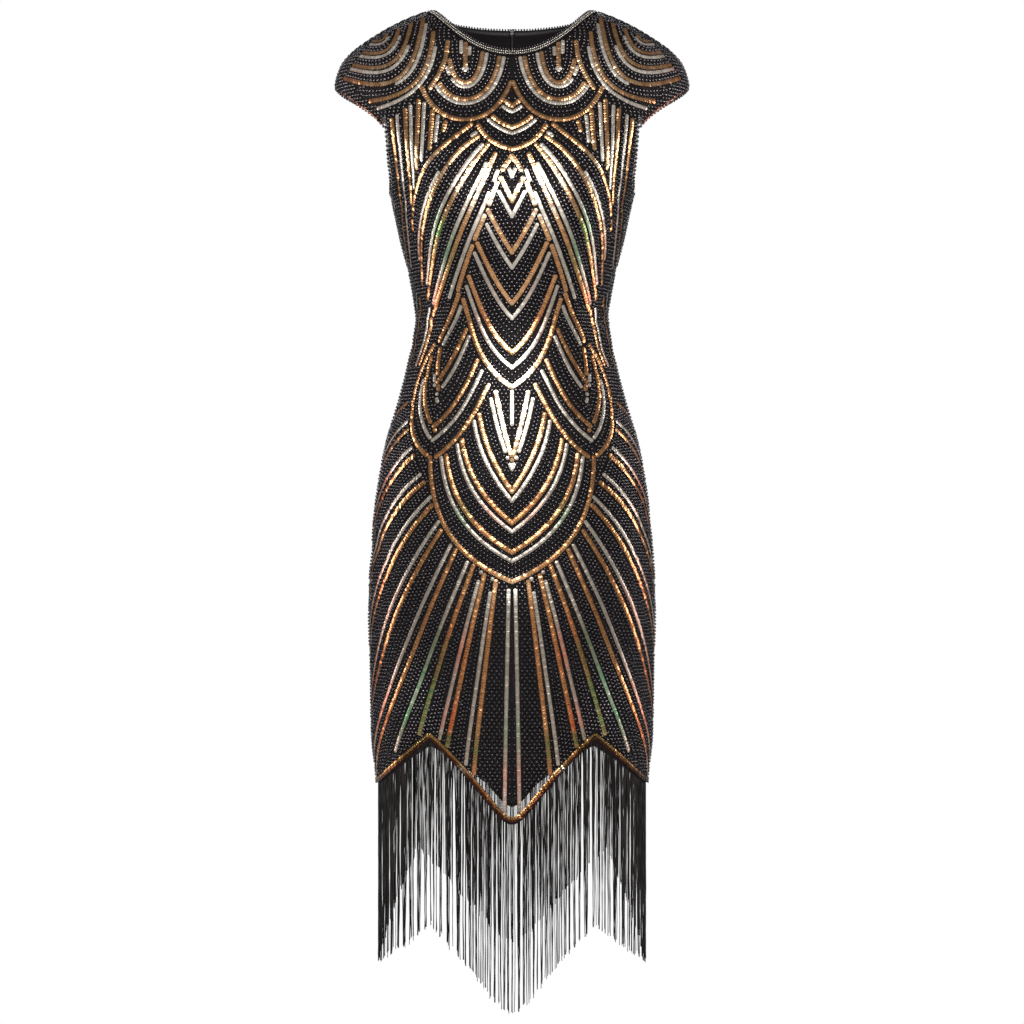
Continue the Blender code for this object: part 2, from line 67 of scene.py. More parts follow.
# %% Sections of the form
# Columns: height, half width at the side, depth before the side, depth behind the side, bust lift.
SECTIONS = (
    (0.0195, 0.0925, 0.0520, 0.0580, 0.0000),
    (0.0165, 0.1060, 0.0545, 0.0605, 0.0000),
    (0.0100, 0.1235, 0.0580, 0.0645, 0.0000),
    (0.0035, 0.1372, 0.0610, 0.0680, 0.0000),
    (-0.0035, 0.1500, 0.0640, 0.0715, 0.0000),
    (-0.0105, 0.1613, 0.0675, 0.0745, 0.0000),
    (-0.0235, 0.1800, 0.0730, 0.0795, 0.0000),
    (-0.0370, 0.1930, 0.0780, 0.0835, 0.0000),
    (-0.0510, 0.1995, 0.0830, 0.0865, 0.0010),
    (-0.0650, 0.2025, 0.0870, 0.0890, 0.0020),
    (-0.0900, 0.1980, 0.0940, 0.0930, 0.0040),
    (-0.1134, 0.1860, 0.1010, 0.0950, 0.0060),
    (-0.1400, 0.1680, 0.1080, 0.0950, 0.0090),
    (-0.1650, 0.1505, 0.1130, 0.0930, 0.0110),
    (-0.1870, 0.1398, 0.1160, 0.0905, 0.0120),
    (-0.2050, 0.1353, 0.1165, 0.0880, 0.0120),
    (-0.2400, 0.1276, 0.1120, 0.0810, 0.0090),
    (-0.2860, 0.1161, 0.1000, 0.0710, 0.0030),
    (-0.3320, 0.1104, 0.0885, 0.0665, 0.0000),
    (-0.3780, 0.1178, 0.0890, 0.0760, 0.0000),
    (-0.4240, 0.1293, 0.0930, 0.0920, 0.0000),
    (-0.4700, 0.1431, 0.0960, 0.1050, 0.0000),
    (-0.5160, 0.1523, 0.0990, 0.1140, 0.0000),
    (-0.5620, 0.1583, 0.1000, 0.1170, 0.0000),
    (-0.6080, 0.1618, 0.1010, 0.1150, 0.0000),
    (-0.6540, 0.1638, 0.1010, 0.1110, 0.0000),
    (-0.7400, 0.1618, 0.0990, 0.1060, 0.0000),
    (-0.8150, 0.1600, 0.0980, 0.1020, 0.0000),
    (-0.8600, 0.1553, 0.0970, 0.1000, 0.0000),
    (-0.9000, 0.1548, 0.0970, 0.1000, 0.0000),
)
FULLNESS = 0.15                     # how much squarer than an ellipse a section is
BUST_TURN = math.radians(33)
BUST_SPREAD = math.radians(20)
# The sleeve seam and, below it, the open armhole. Columns: height, half width.
ARM_LINE = (
    (0.0000, 0.1480),
    (-0.0600, 0.1455),
    (-0.1165, 0.1425),
    (-0.1400, 0.1410),
    (-0.1600, 0.1400),
    (-0.1750, 0.1388),
    (-0.1870, 0.1398),
)
UNDERARM = -0.187


def through_rows(table):
    """A function of height that gives the table's other columns, on cubics through its rows.

    Each cubic has the rows' values and slopes at its ends, each slope from the rows beside it."""
    rows = np.array(sorted(table))
    heights, values = rows[:, 0], rows[:, 1:]
    slopes = np.gradient(values, heights, axis=0)

    def at(height):
        height = np.clip(height, heights[0], heights[-1])
        k = np.clip(np.searchsorted(heights, height, side="right") - 1, 0, len(heights) - 2)
        span = heights[k + 1] - heights[k]
        t = ((height - heights[k]) / span)[..., None]
        span = span[..., None]
        start = (1 + 2 * t) * (1 - t) ** 2 * values[k] + t * (1 - t) ** 2 * span * slopes[k]
        end = t ** 2 * (3 - 2 * t) * values[k + 1] + t ** 2 * (t - 1) * span * slopes[k + 1]
        return np.moveaxis(start + end, -1, 0)

    return at


section = through_rows(SECTIONS)
arm_line = through_rows(ARM_LINE)


def half_width(height):
    return section(np.asarray(height, float))[0]


def ridge_height(x):
    """Height at which the shoulder ridge is this far from the middle."""
    heights = np.linspace(-0.05, SECTIONS[0][0], 400)
    return np.interp(-x, -half_width(heights), heights)


def form(turn, height):
    """Points of the worn form.

    x is the half width times the sine of the turn. y is minus the depth times the cosine, made a
    little fuller towards the diagonals, less a soft round lift at each side of the bust."""
    turn, height = np.broadcast_arrays(np.asarray(turn, float), np.asarray(height, float))
    width, front, back, bust = section(height)
    depth = np.where(np.cos(turn) > 0, front, back)
    lobes = sum(np.exp(-((turn - side * BUST_TURN) / BUST_SPREAD) ** 2) for side in (-1, 1))
    y = -depth * np.cos(turn) * (1 + FULLNESS * np.sin(turn) ** 2) - bust * lobes
    return np.stack([width * np.sin(turn), y, height], axis=-1)


def unit(vectors):
    return vectors / np.linalg.norm(vectors, axis=-1, keepdims=True)


def slopes_at(turn, height):
    """How the form changes with the turn and with the height, over two small steps."""
    around = form(turn + STEP, height) - form(turn - STEP, height)
    upward = form(turn, height + STEP) - form(turn, height - STEP)
    return around, upward


def outward(turn, height):
    """Unit normals: the cross product of the form's changes with turn and with height."""
    return unit(np.cross(*slopes_at(turn, height)))


def lengths_along(points):
    """The length of a line of points from its start to each of them."""
    steps = np.linalg.norm(np.diff(points, axis=0), axis=1)
    return np.concatenate([[0], np.cumsum(steps)])


def turn_at(x, height):
    return np.arcsin(np.clip(x / half_width(height), -1, 1))


print("waist girth", round(float(np.linalg.norm(np.diff(
    form(np.linspace(0, 2 * math.pi, 200), -0.332), axis=0), axis=1).sum()), 3), "m")

# %% [markdown]
# ## Creases
#
# Even a close dress is never quite smooth: it eases at the waist, pulls from the underarm and
# drags a little over the hip. Simulation would lose the seams and the fit, so each main crease is
# placed as a soft trough or ridge. Sizes are uneven, and the back has its own. Every layer and
# every bead uses the same creases, so that nothing parts from the cloth.

# %% Creases on every layer
# Columns: turn and height of the middle, half length in degrees, half width, fall of the crease
# from its middle to its end, depth (negative for a trough).
CREASES = (
    (68, -0.318, 34, 0.0075, 0.012, -1.3),
    (60, -0.337, 28, 0.0065, -0.006, -1.0),
    (-64, -0.324, 38, 0.0080, 0.015, -1.4),
    (-57, -0.345, 24, 0.0060, -0.004, -0.9),
    (74, -0.372, 26, 0.0090, -0.012, -0.9),
    (-77, -0.366, 22, 0.0080, -0.014, -1.1),
    (70, -0.205, 20, 0.0100, -0.034, -1.2),
    (-72, -0.211, 23, 0.0090, -0.038, -1.0),
    (18, -0.431, 30, 0.0120, 0.010, -0.8),
    (-24, -0.447, 26, 0.0110, 0.008, -0.9),
    (80, -0.560, 20, 0.0170, 0.030, -1.0),
    (-78, -0.590, 22, 0.0160, 0.034, -1.2),
    (45, -0.700, 9, 0.0700, 0.020, -1.1),
    (-41, -0.720, 8, 0.0800, 0.016, -1.2),
    (152, -0.322, 26, 0.0080, 0.006, -1.5),
    (-150, -0.329, 28, 0.0085, 0.007, -1.4),
    (158, -0.351, 20, 0.0070, 0.004, -1.2),
    (-160, -0.358, 22, 0.0075, 0.003, -1.1),
    (128, -0.640, 10, 0.0800, 0.010, -1.2),
    (-133, -0.660, 9, 0.0900, 0.014, -1.1),
    (125, -0.180, 18, 0.0120, -0.030, -0.9),
    (-122, -0.186, 17, 0.0130, -0.032, -1.0),
)


def crease(turn, height):
    """Depth of all the creases at a point, in metres.

    Each is its depth times a bell along it, times a bell across it that dips a little either side."""
    total = np.zeros(np.broadcast(turn, height).shape)
    for middle, level, length, width, fall, depth in CREASES:
        along = (turn - math.radians(middle) + HALF_TURN) % (2 * HALF_TURN) - HALF_TURN
        along = along / math.radians(length)
        across = (height - level + fall * along ** 2) / width
        bell = np.exp(-across ** 2) * (1.25 - 0.25 * across ** 2)
        total = total + depth * MM * np.exp(-along ** 2) * bell
    return total


def surface(turn, height, out=0.0):
    """Points of the dress: the form, moved along its normals by the layer's distance and creases."""
    turn, height = np.broadcast_arrays(np.asarray(turn, float), np.asarray(height, float))
    moved = (out + crease(turn, height))[..., None] * outward(turn, height)
    return form(turn, height) + moved


print("creases", len(CREASES), "deepest", min(c[-1] for c in CREASES), "mm")

# %% [markdown]
# ## Meshes from arrays
#
# A sheet can be modelled by hand, or a grid of points can be worked out and joined. The grid is
# used here, because its points come straight from the form. Thousands of beads are one small
# shape repeated: each gets a place and three directions, and all of them become one mesh, which
# is quick to draw.

# %% Helpers that make meshes
def put_in_scene(name, mesh):
    thing = bpy.data.objects.new(name, mesh)
    bpy.context.scene.collection.objects.link(thing)
    return thing


def add_piece(name, points, faces, material, body="dress", slot=None, replaces=(), smooth=True):
    """A mesh object at the origin that rides on a body and stands for the nodes it replaces."""
    mesh = bpy.data.meshes.new(name)
    mesh.from_pydata(np.asarray(points).tolist(), [], np.asarray(faces).tolist())
    mesh.materials.append(material)
    if smooth:
        mesh.shade_smooth()
    piece = put_in_scene(name, mesh)
    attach(piece, body)
    if replaces:
        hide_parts(*replaces)
    triangles = sum(len(face.vertices) - 2 for face in mesh.polygons)
    print(name, len(mesh.vertices), "points,", triangles, "triangles")
    return piece


def wall_faces(rows, columns):
    """Faces of a closed wall: an outer grid, the same grid behind it facing in, and the rim."""
    index = np.arange(rows * columns).reshape(rows, columns)
    far = index + rows * columns
    outer = np.stack([index[:-1, :-1], index[:-1, 1:], index[1:, 1:], index[1:, :-1]], -1)
    inner = np.stack([far[:-1, :-1], far[1:, :-1], far[1:, 1:], far[:-1, 1:]], -1)
    ring = np.concatenate([index[0], index[1:, -1], index[-1, -2::-1], index[-2:0:-1, 0]])
    behind = ring + rows * columns
    rim = np.stack([ring, behind, np.roll(behind, -1), np.roll(ring, -1)], -1)
    return np.concatenate([outer.reshape(-1, 4), inner.reshape(-1, 4), rim])


def add_uv(piece, across, up):
    """A map in metres: across the cloth and up it."""
    mesh = piece.data
    places = np.stack([across.ravel(), up.ravel()], -1)
    places = np.concatenate([places, places])
    corners = np.zeros(len(mesh.loops), int)
    mesh.loops.foreach_get("vertex_index", corners)
    layer = mesh.uv_layers.new(name="cloth")
    layer.uv.foreach_set("vector", places[corners].astype(np.float32).ravel())


def as_grid(rows):
    """A grid of turns and one of heights from a list of rows."""
    return tuple(np.array(values) for values in zip(*rows))


def add_sheet(name, turns, heights, depths, material, **facts):
    """A thin closed shell on a grid of turns and heights, outer face first, with its flat map."""
    outer, inner = (surface(turns, heights, out) for out in depths)
    rows, columns = turns.shape
    points = np.concatenate([outer.reshape(-1, 3), inner.reshape(-1, 3)])
    piece = add_piece(name, points, wall_faces(rows, columns), material, **facts)
    steps = np.linalg.norm(np.diff(outer, axis=1), axis=2)
    across = np.concatenate([np.zeros((rows, 1)), np.cumsum(steps, axis=1)], axis=1)
    add_uv(piece, across - across[:, columns // 2, None], heights)
    return piece, outer


def declare_cloth(piece, outer, held="stretched", layers=1, **facts):
    """Tells the sheet's flat size: its longest row, its longest column and its area before sewing.

    A strip that is turned under along its edges has more than one layer."""
    row = np.linalg.norm(np.diff(outer, axis=1), axis=2).sum(axis=1).max()
    column = layers * np.linalg.norm(np.diff(outer, axis=0), axis=2).sum(axis=0).max()
    sides = outer[1:, :-1] - outer[:-1, :-1], outer[:-1, 1:] - outer[:-1, :-1]
    area = layers * np.linalg.norm(np.cross(*sides), axis=2).sum()
    area = float(min(area, row * column))
    print(f"{piece.name}: cut {row:.3f} by {column:.3f} m, {area:.4f} square metres")


def repeat_shape(template, faces, places, across, along, out):
    """Points and faces of a small shape repeated: place + x·across + y·along + z·out for each."""
    frames = np.stack([across, along, out], axis=1)
    points = places[:, None, :] + np.einsum("pk,nkc->npc", template, frames)
    shift = np.arange(len(places))[:, None, None] * len(template)
    return points.reshape(-1, 3), (np.asarray(faces)[None] + shift).reshape(-1, len(faces[0]))


def set_attribute(piece, name, values):
    """A number for each point of the mesh, for materials to read."""
    attribute = piece.data.attributes.new(name, "FLOAT", "POINT")
    attribute.data.foreach_set("value", np.asarray(values, np.float32))


# %% [markdown]
# ## Finishes
#
# Each finish is a graph of shader nodes. Wiring nodes one by one is hard to read, so a small
# class lets shader maths be written as ordinary expressions, and another makes any node in one
# line.

# %% Shader maths as expressions
class Value:
    """A shader socket that takes part in sums: each operator adds a Math node."""

    def __init__(self, finish, socket):
        self.finish, self.socket = finish, socket

    def maths(self, operation, *others):
        inputs = dict(enumerate((self, *others)))
        return self.finish.node("ShaderNodeMath", {"operation": operation}, inputs)

    def __add__(self, other):
        return self.maths("ADD", other)

    def __sub__(self, other):
        return self.maths("SUBTRACT", other)

    def __rsub__(self, other):
        return self.finish.node("ShaderNodeMath", {"operation": "SUBTRACT"}, {0: other, 1: self})

    def __mul__(self, other):
        return self.maths("MULTIPLY", other)

    def __gt__(self, other):
        return self.maths("GREATER_THAN", other)

    __radd__ = __add__
    __rmul__ = __mul__


class Finish:
    """One material: its plain settings go on the shader's own sockets, the rest is linked."""

    def __init__(self, name, **settings):
        self.material = bpy.data.materials.new(name)
        self.material.use_nodes = True
        self.tree = self.material.node_tree
        self.shader = self.tree.nodes["Principled BSDF"]
        for label, value in settings.items():
            value = (*value, 1) if label == "Base_Color" else value
            self.shader.inputs[label.replace("_", " ")].default_value = value

    def node(self, kind, settings=None, inputs=None, output=0):
        made = self.tree.nodes.new(kind)
        for label, value in (settings or {}).items():
            setattr(made, label, value)
        for label, value in (inputs or {}).items():
            self.feed(made.inputs[label], value)
        return Value(self, made.outputs[output])

    def feed(self, socket, value):
        if isinstance(value, Value):
            self.tree.links.new(value.socket, socket)
        else:
            socket.default_value = value

    def set(self, label, value):
        self.feed(self.shader.inputs[label], value)

    def mix(self, share, first, second):
        colours = [c if isinstance(c, Value) else (*c, 1) for c in (first, second)]
        inputs = {0: share, 6: colours[0], 7: colours[1]}
        return self.node("ShaderNodeMix", {"data_type": "RGBA"}, inputs, 2)

    def place(self):
        return self.node("ShaderNodeTexCoord", output="Object")

    def on_cloth(self):
        return self.node("ShaderNodeUVMap", {"uv_map": "cloth"})

    def attribute(self, name):
        return self.node("ShaderNodeAttribute", {"attribute_name": name}, output="Fac")

    def noise(self, vector, scale, detail=2.0):
        inputs = {"Vector": vector, "Scale": scale, "Detail": detail}
        return self.node("ShaderNodeTexNoise", None, inputs)

    def waves(self, vector, scale, direction):
        """Even waves across one axis, from 0 to 1."""
        return self.node("ShaderNodeTexWave", {"wave_type": "BANDS", "bands_direction": direction},
                         {"Vector": vector, "Scale": scale, "Distortion": 0.0}, "Fac")

    def bump(self, height, depth, strength=1.0):
        self.set("Normal", self.node("ShaderNodeBump", None,
                                     {"Strength": strength, "Distance": depth, "Height": height}))
        return self.material


# %% [markdown]
# ### Net and satin
#
# Tulle is a net of fine threads. At arm's length it reads as a dark veil, so its holes are a
# pattern in the alpha: threads cross every millimetre or so and leave the rest open. Satin is
# smooth and reflects in soft broad bands; its weave shows only as a fine ribbing.

# %% Net, satin and tape
def net_finish(name, bare):
    """Black net: two sets of fine threads cross, and between them nothing shows.

    The wave passes bare where there is thread, so a lower number makes a closer net."""
    net = Finish(name, Roughness=0.70, Specular_IOR_Level=0.12)
    flat = net.on_cloth()
    turned = net.node("ShaderNodeMapping", None,
                      {"Vector": flat, "Rotation": (0, 0, math.radians(45))})
    threads = (net.waves(turned, 260.0, "X") > bare) + (net.waves(turned, 260.0, "Y") > bare)
    net.set("Alpha", threads.maths("MINIMUM", 1.0) * 0.85)
    shade = net.noise(net.place(), 30.0)
    net.set("Base Color", net.mix(shade, (0.005, 0.004, 0.004), (0.013, 0.010, 0.009)))
    return net.bump(threads, 0.15 * MM, 0.5)


def satin_finish():
    """Black satin: fine ribs along the cloth and a slow change of gloss."""
    satin = Finish("satin_lining", Roughness=0.42, Specular_IOR_Level=0.1)
    satin.set("Roughness", satin.noise(satin.place(), 9.0) * 0.16 + 0.32)
    satin.set("Base Color", satin.mix(satin.noise(satin.place(), 14.0), (0.004, 0.0035, 0.004),
                                      (0.010, 0.008, 0.009)))
    ribs = satin.waves(satin.on_cloth(), 420.0, "X")
    return satin.bump(ribs + satin.noise(satin.place(), 60.0) * 2.0, 0.08 * MM, 0.4)


def tape_finish():
    """Woven zip tape: a herringbone of two slanting sets of ribs."""
    tape = Finish("zip_tape", Roughness=0.85, Specular_IOR_Level=0.06)
    turned = tape.node("ShaderNodeMapping", None,
                       {"Vector": tape.on_cloth(), "Rotation": (0, 0, math.radians(35))})
    ribs = tape.waves(turned, 500.0, "X")
    tape.set("Base Color", tape.mix(ribs, (0.005, 0.005, 0.006), (0.014, 0.012, 0.013)))
    return tape.bump(ribs, 0.12 * MM, 0.6)


NET, CLOSE_NET = net_finish("beaded_tulle", 0.86), net_finish("doubled_tulle", 0.30)
SATIN, TAPE = satin_finish(), tape_finish()

# %% [markdown]
# ### Sequins, beads and fringe
#
# A sequin is a little metallised disc, so it is all gloss: its colour comes from what it mirrors.
# Gold ones turn copper and green at some angles. Painting that by the camera's place would look
# false from anywhere else, so each sequin carries its own tint as a number that the material
# reads: the copper and green are painted reflections, fixed to places on the dress. Each item
# also carries painted light: lighter at painted highlights on the chest, down the middle and in a
# few other places, and darker elsewhere as painted shade. Bead crowns carry a painted highlight
# and sequin rims painted shade.

# %% Sequins, beads, fringe and zip
# Film colours: a plain and a light colour for each film, mixed by painted light and random tone;
# cream for painted highlights; copper and green for painted reflections; a near-black for painted
# shade at sequin rims.
GOLD, PALE_GOLD = (0.22, 0.085, 0.028), (0.74, 0.43, 0.21)
COPPER_REFLECTION = (0.45, 0.09, 0.030)
SILVER, DARK_SILVER = (0.62, 0.57, 0.50), (0.13, 0.105, 0.080)
HIGHLIGHT_CREAM = (0.97, 0.88, 0.70)
RIM_SHADE = (0.035, 0.018, 0.010)
GREEN_REFLECTION, DARK_GREEN_REFLECTION = (0.05, 0.38, 0.12), (0.012, 0.055, 0.017)


def sequin_finish(name, light, plain, roughness, metallic):
    """Metallised film: from plain to light, and cream as a painted highlight, by each sequin's
    painted light and random tone, then painted copper and green reflections, then painted shade at
    the rim.
    """
    film = Finish(name, Metallic=metallic, Roughness=roughness)
    painted_light_and_tone = film.attribute("painted_light_and_tone")
    colour = film.mix(painted_light_and_tone, plain, light)
    # painted highlight: cream where the painted light is strongest
    colour = film.mix(painted_light_and_tone.maths("POWER", 6.0), colour, HIGHLIGHT_CREAM)
    colour = film.mix(film.attribute("copper_reflection"), colour, COPPER_REFLECTION)
    colour = film.mix(film.attribute("green_reflection"), colour, film.mix(painted_light_and_tone, DARK_GREEN_REFLECTION, GREEN_REFLECTION))
    # painted shade: each sequin darkens towards its rim, like the shade where its neighbour overlaps
    # it
    rim = film.attribute("rim").maths("POWER", 7.0) * 0.75
    colour = film.mix(rim, colour, RIM_SHADE)
    film.set("Base Color", colour)
    film.set("Roughness", film.noise(film.place(), 400.0) * 0.14 + (roughness - 0.07))
    return film.bump(film.noise(film.place(), 900.0), 0.1 * MM, 0.3)


def bead_finish(name, dark, light, metallic, roughness):
    """Cut glass beads: dark and glossy, with a painted highlight on each crown, paler where the
    painted light is stronger and at random from bead to bead. The zip coil has no rim, so there the
    same mix makes one side's teeth a little paler.
    """
    glass = Finish(name, Metallic=metallic, Roughness=roughness)
    crown_highlight_and_tone = (1.0 - glass.attribute("rim")).maths("POWER", 2.0) * glass.attribute("painted_light_and_tone")
    glass.set("Base Color", glass.mix(crown_highlight_and_tone, dark, light))
    return glass.bump(glass.noise(glass.place(), 700.0), 0.1 * MM, 0.2)


def fringe_finish():
    """Rayon strands: black, some a little brown at random, ribbed by their twist."""
    rayon = Finish("rayon_fringe", Roughness=0.55, Specular_IOR_Level=0.12)
    twist = rayon.waves(rayon.place(), 260.0, "Z")
    rayon.set("Base Color", rayon.mix(rayon.attribute("painted_light_and_tone"), (0.0035, 0.003, 0.003),
                                      (0.016, 0.012, 0.011)))
    return rayon.bump(twist, 0.12 * MM, 0.5)


def metal_finish():
    """Enamelled zip metal: black, rubbed a little paler in patches."""
    metal = Finish("zip_metal", Metallic=0.85, Roughness=0.34)
    worn = metal.noise(metal.place(), 260.0, 4.0)
    metal.set("Base Color", metal.mix(worn, (0.030, 0.029, 0.030), (0.110, 0.105, 0.100)))
    metal.set("Roughness", worn * 0.2 + 0.26)
    return metal.bump(worn, 0.05 * MM, 0.3)


GOLD_FILM = sequin_finish("gold_sequins", PALE_GOLD, GOLD, 0.27, 0.9)
SILVER_FILM = sequin_finish("silver_sequins", SILVER, DARK_SILVER, 0.32, 0.6)
BRONZE_FILM = sequin_finish("hem_sequins", (0.42, 0.26, 0.09), (0.17, 0.085, 0.030), 0.25, 1.0)
# Painted shade: a darker copy of the hem film, for the hem's lower row and the caps' rim.
SHADED_FILM = sequin_finish("shaded_hem_sequins", (0.11, 0.035, 0.016), (0.030, 0.012, 0.008), 0.25, 1.0)
# The light colour of the black beads is the painted highlight on their crowns.
BLACK_GLASS = bead_finish("black_beads", (0.007, 0.005, 0.007), (0.52, 0.46, 0.48), 0.6, 0.22)
SILVER_GLASS = sequin_finish("silver_binding", (0.66, 0.61, 0.54), (0.20, 0.18, 0.15), 0.28, 0.8)
RAYON = fringe_finish()
METAL = metal_finish()
NYLON = bead_finish("zip_coil", (0.010, 0.010, 0.011), (0.030, 0.029, 0.031), 0.0, 0.38)
print("materials", len(bpy.data.materials))

# %% [markdown]
# ## The cloth pieces
#
# The pieces are cut as on a real pattern: a front, two back halves, two caps, and a lining for
# each body piece. The rows of each grid follow the edges, so that hem, neckline and armhole are
# smooth curves and not stair steps. Each piece is a thin shell on the outer face of its stand-in.

# %% Edges of the pieces
NECK_HALF_WIDTH = 0.0925
NECK_FRONT = -0.0363
NECK_BACK = 0.0130
NECK_SWELL = 0.35
BINDING_WIDTH = 6.0 * MM
TOP_ROWS_DEPTH = 0.030
SHOULDER_POINT = 0.148
CAP_TIP = -0.065
CAP_TURN_POWER, CAP_FALL_POWER = 1.6, 1.25
# Columns: height of the sleeve seam's end, height of the cap's edge, its turn from the centre.
CAP_FEET = (
    (-0.1165, -0.1195, math.radians(52.8)),
    (-0.0850, -0.0895, math.radians(51.5)),
)
# Columns: height at the centre tip, height at the peak, turn of the peak.
FRONT_HEM = (-0.8970, -0.8050, math.radians(35))
BACK_HEM = (-0.8530, -0.7420, math.radians(44))
FRONT_LINING_HEM = (-0.8690, -0.8137, math.radians(35))
BACK_LINING_HEM = (-0.8290, -0.7510, math.radians(44))
SIDE_TIP = -0.8630
LINING_SIDE_TIP = -0.8580
TIP_ROUND = 0.18
SCALLOP_SWELL = 0.35
HEM_BAND_WIDTH = 5.5 * MM

# Distances of the faces from the form, outer then inner.
SEAM = 0.3 * MM
TULLE = (0.0, -0.4 * MM)
LINING = (-2.4 * MM, -2.9 * MM)
BINDING = (0.2 * MM, -1.9 * MM)
TAPE_LAYER = (-1.3 * MM, -2.0 * MM)
HEM_LAYER = (0.9 * MM, SEAM)

HALF_COLUMNS = 36
SKIRT_ROWS = 66
NECK_ROWS = 6
SLEEVE_ROWS = 16
EDGE_HEIGHTS = (-0.180, -0.166, -0.146, -0.1165, -0.085, -0.052, -0.026, -0.010)
ROWS_BETWEEN = 3                    # finer rows between two of those heights
ZIP_GAP = 2.1 * MM
ZIP_FOOT = -0.4075


def scallop(turn, hem, side_tip):
    """Hem height: a rounded tip that swells up to the peak, then straight down to the side tip."""
    tip, peak, peak_turn = hem
    t = np.clip(turn / peak_turn, 0, 1)
    rise = (np.hypot(t, TIP_ROUND) - TIP_ROUND) / (math.hypot(1, TIP_ROUND) - TIP_ROUND)
    rise = rise + SCALLOP_SWELL * rise * (1 - rise)
    fall = np.clip((np.sin(turn) - math.sin(peak_turn)) / (1 - math.sin(peak_turn)), 0, 1)
    return tip + (peak - tip) * rise + (side_tip - peak) * fall


def band_rise(turn, height):
    """Upright height of the hem band, which keeps its width square to the slanting hem."""
    along = np.gradient(form(turn, height), axis=0)
    return HEM_BAND_WIDTH * np.linalg.norm(along, axis=1) / np.linalg.norm(along[:, :2], axis=1)


def neck_curve(s, widen, centre):
    """Turns and heights of a curve round the neck, widened down from the neckline. s is 0 to 1."""
    half = NECK_HALF_WIDTH + widen
    share = np.sin(s * QUARTER)
    rise = share ** 2 + NECK_SWELL * share ** 4 * (1 - share ** 2)
    height = (centre - widen) + (ridge_height(half) - centre + widen) * rise
    return turn_at(half * share, height), height


def finer(values, parts):
    """The values with even steps put between them."""
    places = np.linspace(0, len(values) - 1, (len(values) - 1) * parts + 1)
    return np.interp(places, np.arange(len(values)), values)


def half_panel(hem, neck_centre):
    """Turns and heights of half a panel's grid. Rows go up, and columns from centre to side."""
    s = np.linspace(0, 1, HALF_COLUMNS + 1)
    turn = s * QUARTER
    foot = scallop(turn, hem, SIDE_TIP)
    above_band = foot + band_rise(turn, foot)
    climb = np.linspace(0, 1, SKIRT_ROWS + 1)[:, None]
    heights = [foot[None], above_band + (UNDERARM - above_band) * climb]
    turns = [turn[None], np.repeat(turn[None], SKIRT_ROWS + 1, axis=0)]
    top_edge = float(ridge_height(SHOULDER_POINT - SEAM / 2))
    top_centre = neck_centre - TOP_ROWS_DEPTH
    edge = finer((UNDERARM,) + EDGE_HEIGHTS + (top_edge,), ROWS_BETWEEN)[1:, None]
    share = (edge - UNDERARM) / (top_edge - UNDERARM)
    centre = UNDERARM + (top_centre - UNDERARM) * share
    height = centre + (edge - centre) * s ** 1.5
    row_turn = turn_at((arm_line(edge)[0] - SEAM / 2) * np.sin(turn), height)
    row_turn[-1, -1] = QUARTER
    turns.append(row_turn)
    heights.append(height)
    neck_turn, neck_height = neck_curve(s, BINDING_WIDTH + SEAM, neck_centre)
    neck_turn[-1] = QUARTER
    up = np.linspace(0, 1, NECK_ROWS + 1)[1:, None]
    turns.append(row_turn[-1] + (neck_turn - row_turn[-1]) * up)
    heights.append(height[-1] + (neck_height - height[-1]) * up)
    turns, heights = np.concatenate(turns), np.concatenate(heights)
    turns[:, -1] -= np.where(turns[:, -1] > QUARTER - 1e-6, 0.5 * SEAM / 0.1, 0)
    return turns, heights


def lining_panel(half, hem, neck_centre):
    """The lining's half grid: its own hem and neck edge, and the panel's rows between them."""
    turns, heights = half
    s = np.linspace(0, 1, HALF_COLUMNS + 1)
    foot = scallop(s * QUARTER, hem, LINING_SIDE_TIP)
    neck_turn, neck_height = neck_curve(s, SEAM, neck_centre)
    neck_turn[-1] = turns[-1, -1]
    return np.vstack([turns[:1], turns[2:], neck_turn]), np.vstack([foot, heights[2:], neck_height])


def open_for_zip(grid):
    """Moves the column at centre back off the zip, above the zip's foot."""
    turns, heights = grid[0].copy(), grid[1]
    turns[:, 0] = turn_at(np.where(heights[:, 0] > ZIP_FOOT, ZIP_GAP, SEAM / 2), heights[:, 0])
    return turns, heights


def both_sides(grid):
    turns, heights = grid
    return np.hstack([-turns[:, :0:-1], turns]), np.hstack([heights[:, :0:-1], heights])


def on_back(grid, side):
    """A back grid as turns about the body, on the right (1) or the left (-1)."""
    turns, heights = grid
    if side > 0:
        return HALF_TURN - turns[:, ::-1], heights[:, ::-1]
    return turns - HALF_TURN, heights


def cap_free_edge(foot, to_foot):
    """Turns and heights of a cap's edge, at shares of the way from its tip to its foot."""
    _, edge_foot, foot_turn = foot
    turn = foot_turn + (QUARTER - foot_turn) * (1 - to_foot) ** CAP_TURN_POWER
    return turn, CAP_TIP + (edge_foot - CAP_TIP) * to_foot ** CAP_FALL_POWER


def cap_grid():
    """The right cap sleeve: rows from its free edge up to its seam, columns from front to back."""
    halves = []
    for cap_foot in CAP_FEET:
        above = [h for h in EDGE_HEIGHTS if h >= cap_foot[0]]
        height = finer(above + [float(ridge_height(SHOULDER_POINT + SEAM / 2))], ROWS_BETWEEN + 1)
        turn = turn_at(arm_line(height)[0] + SEAM / 2, height)
        turn[-1] = QUARTER
        length = lengths_along(form(turn, height))
        edge_turn, edge_height = cap_free_edge(cap_foot, 1 - length / length[-1])
        share = np.linspace(1, 0, SLEEVE_ROWS + 1)[:, None]
        halves.append((turn + (edge_turn - turn) * share, height + (edge_height - height) * share))
    (turns, heights), (back_turns, back_heights) = halves
    return (np.hstack([turns, HALF_TURN - back_turns[:, -2::-1]]),
            np.hstack([heights, back_heights[:, -2::-1]]))


front_half = half_panel(FRONT_HEM, NECK_FRONT)
back_half = open_for_zip(half_panel(BACK_HEM, NECK_BACK))
cap = cap_grid()
print("front grid", front_half[0].shape, "cap grid", cap[0].shape)

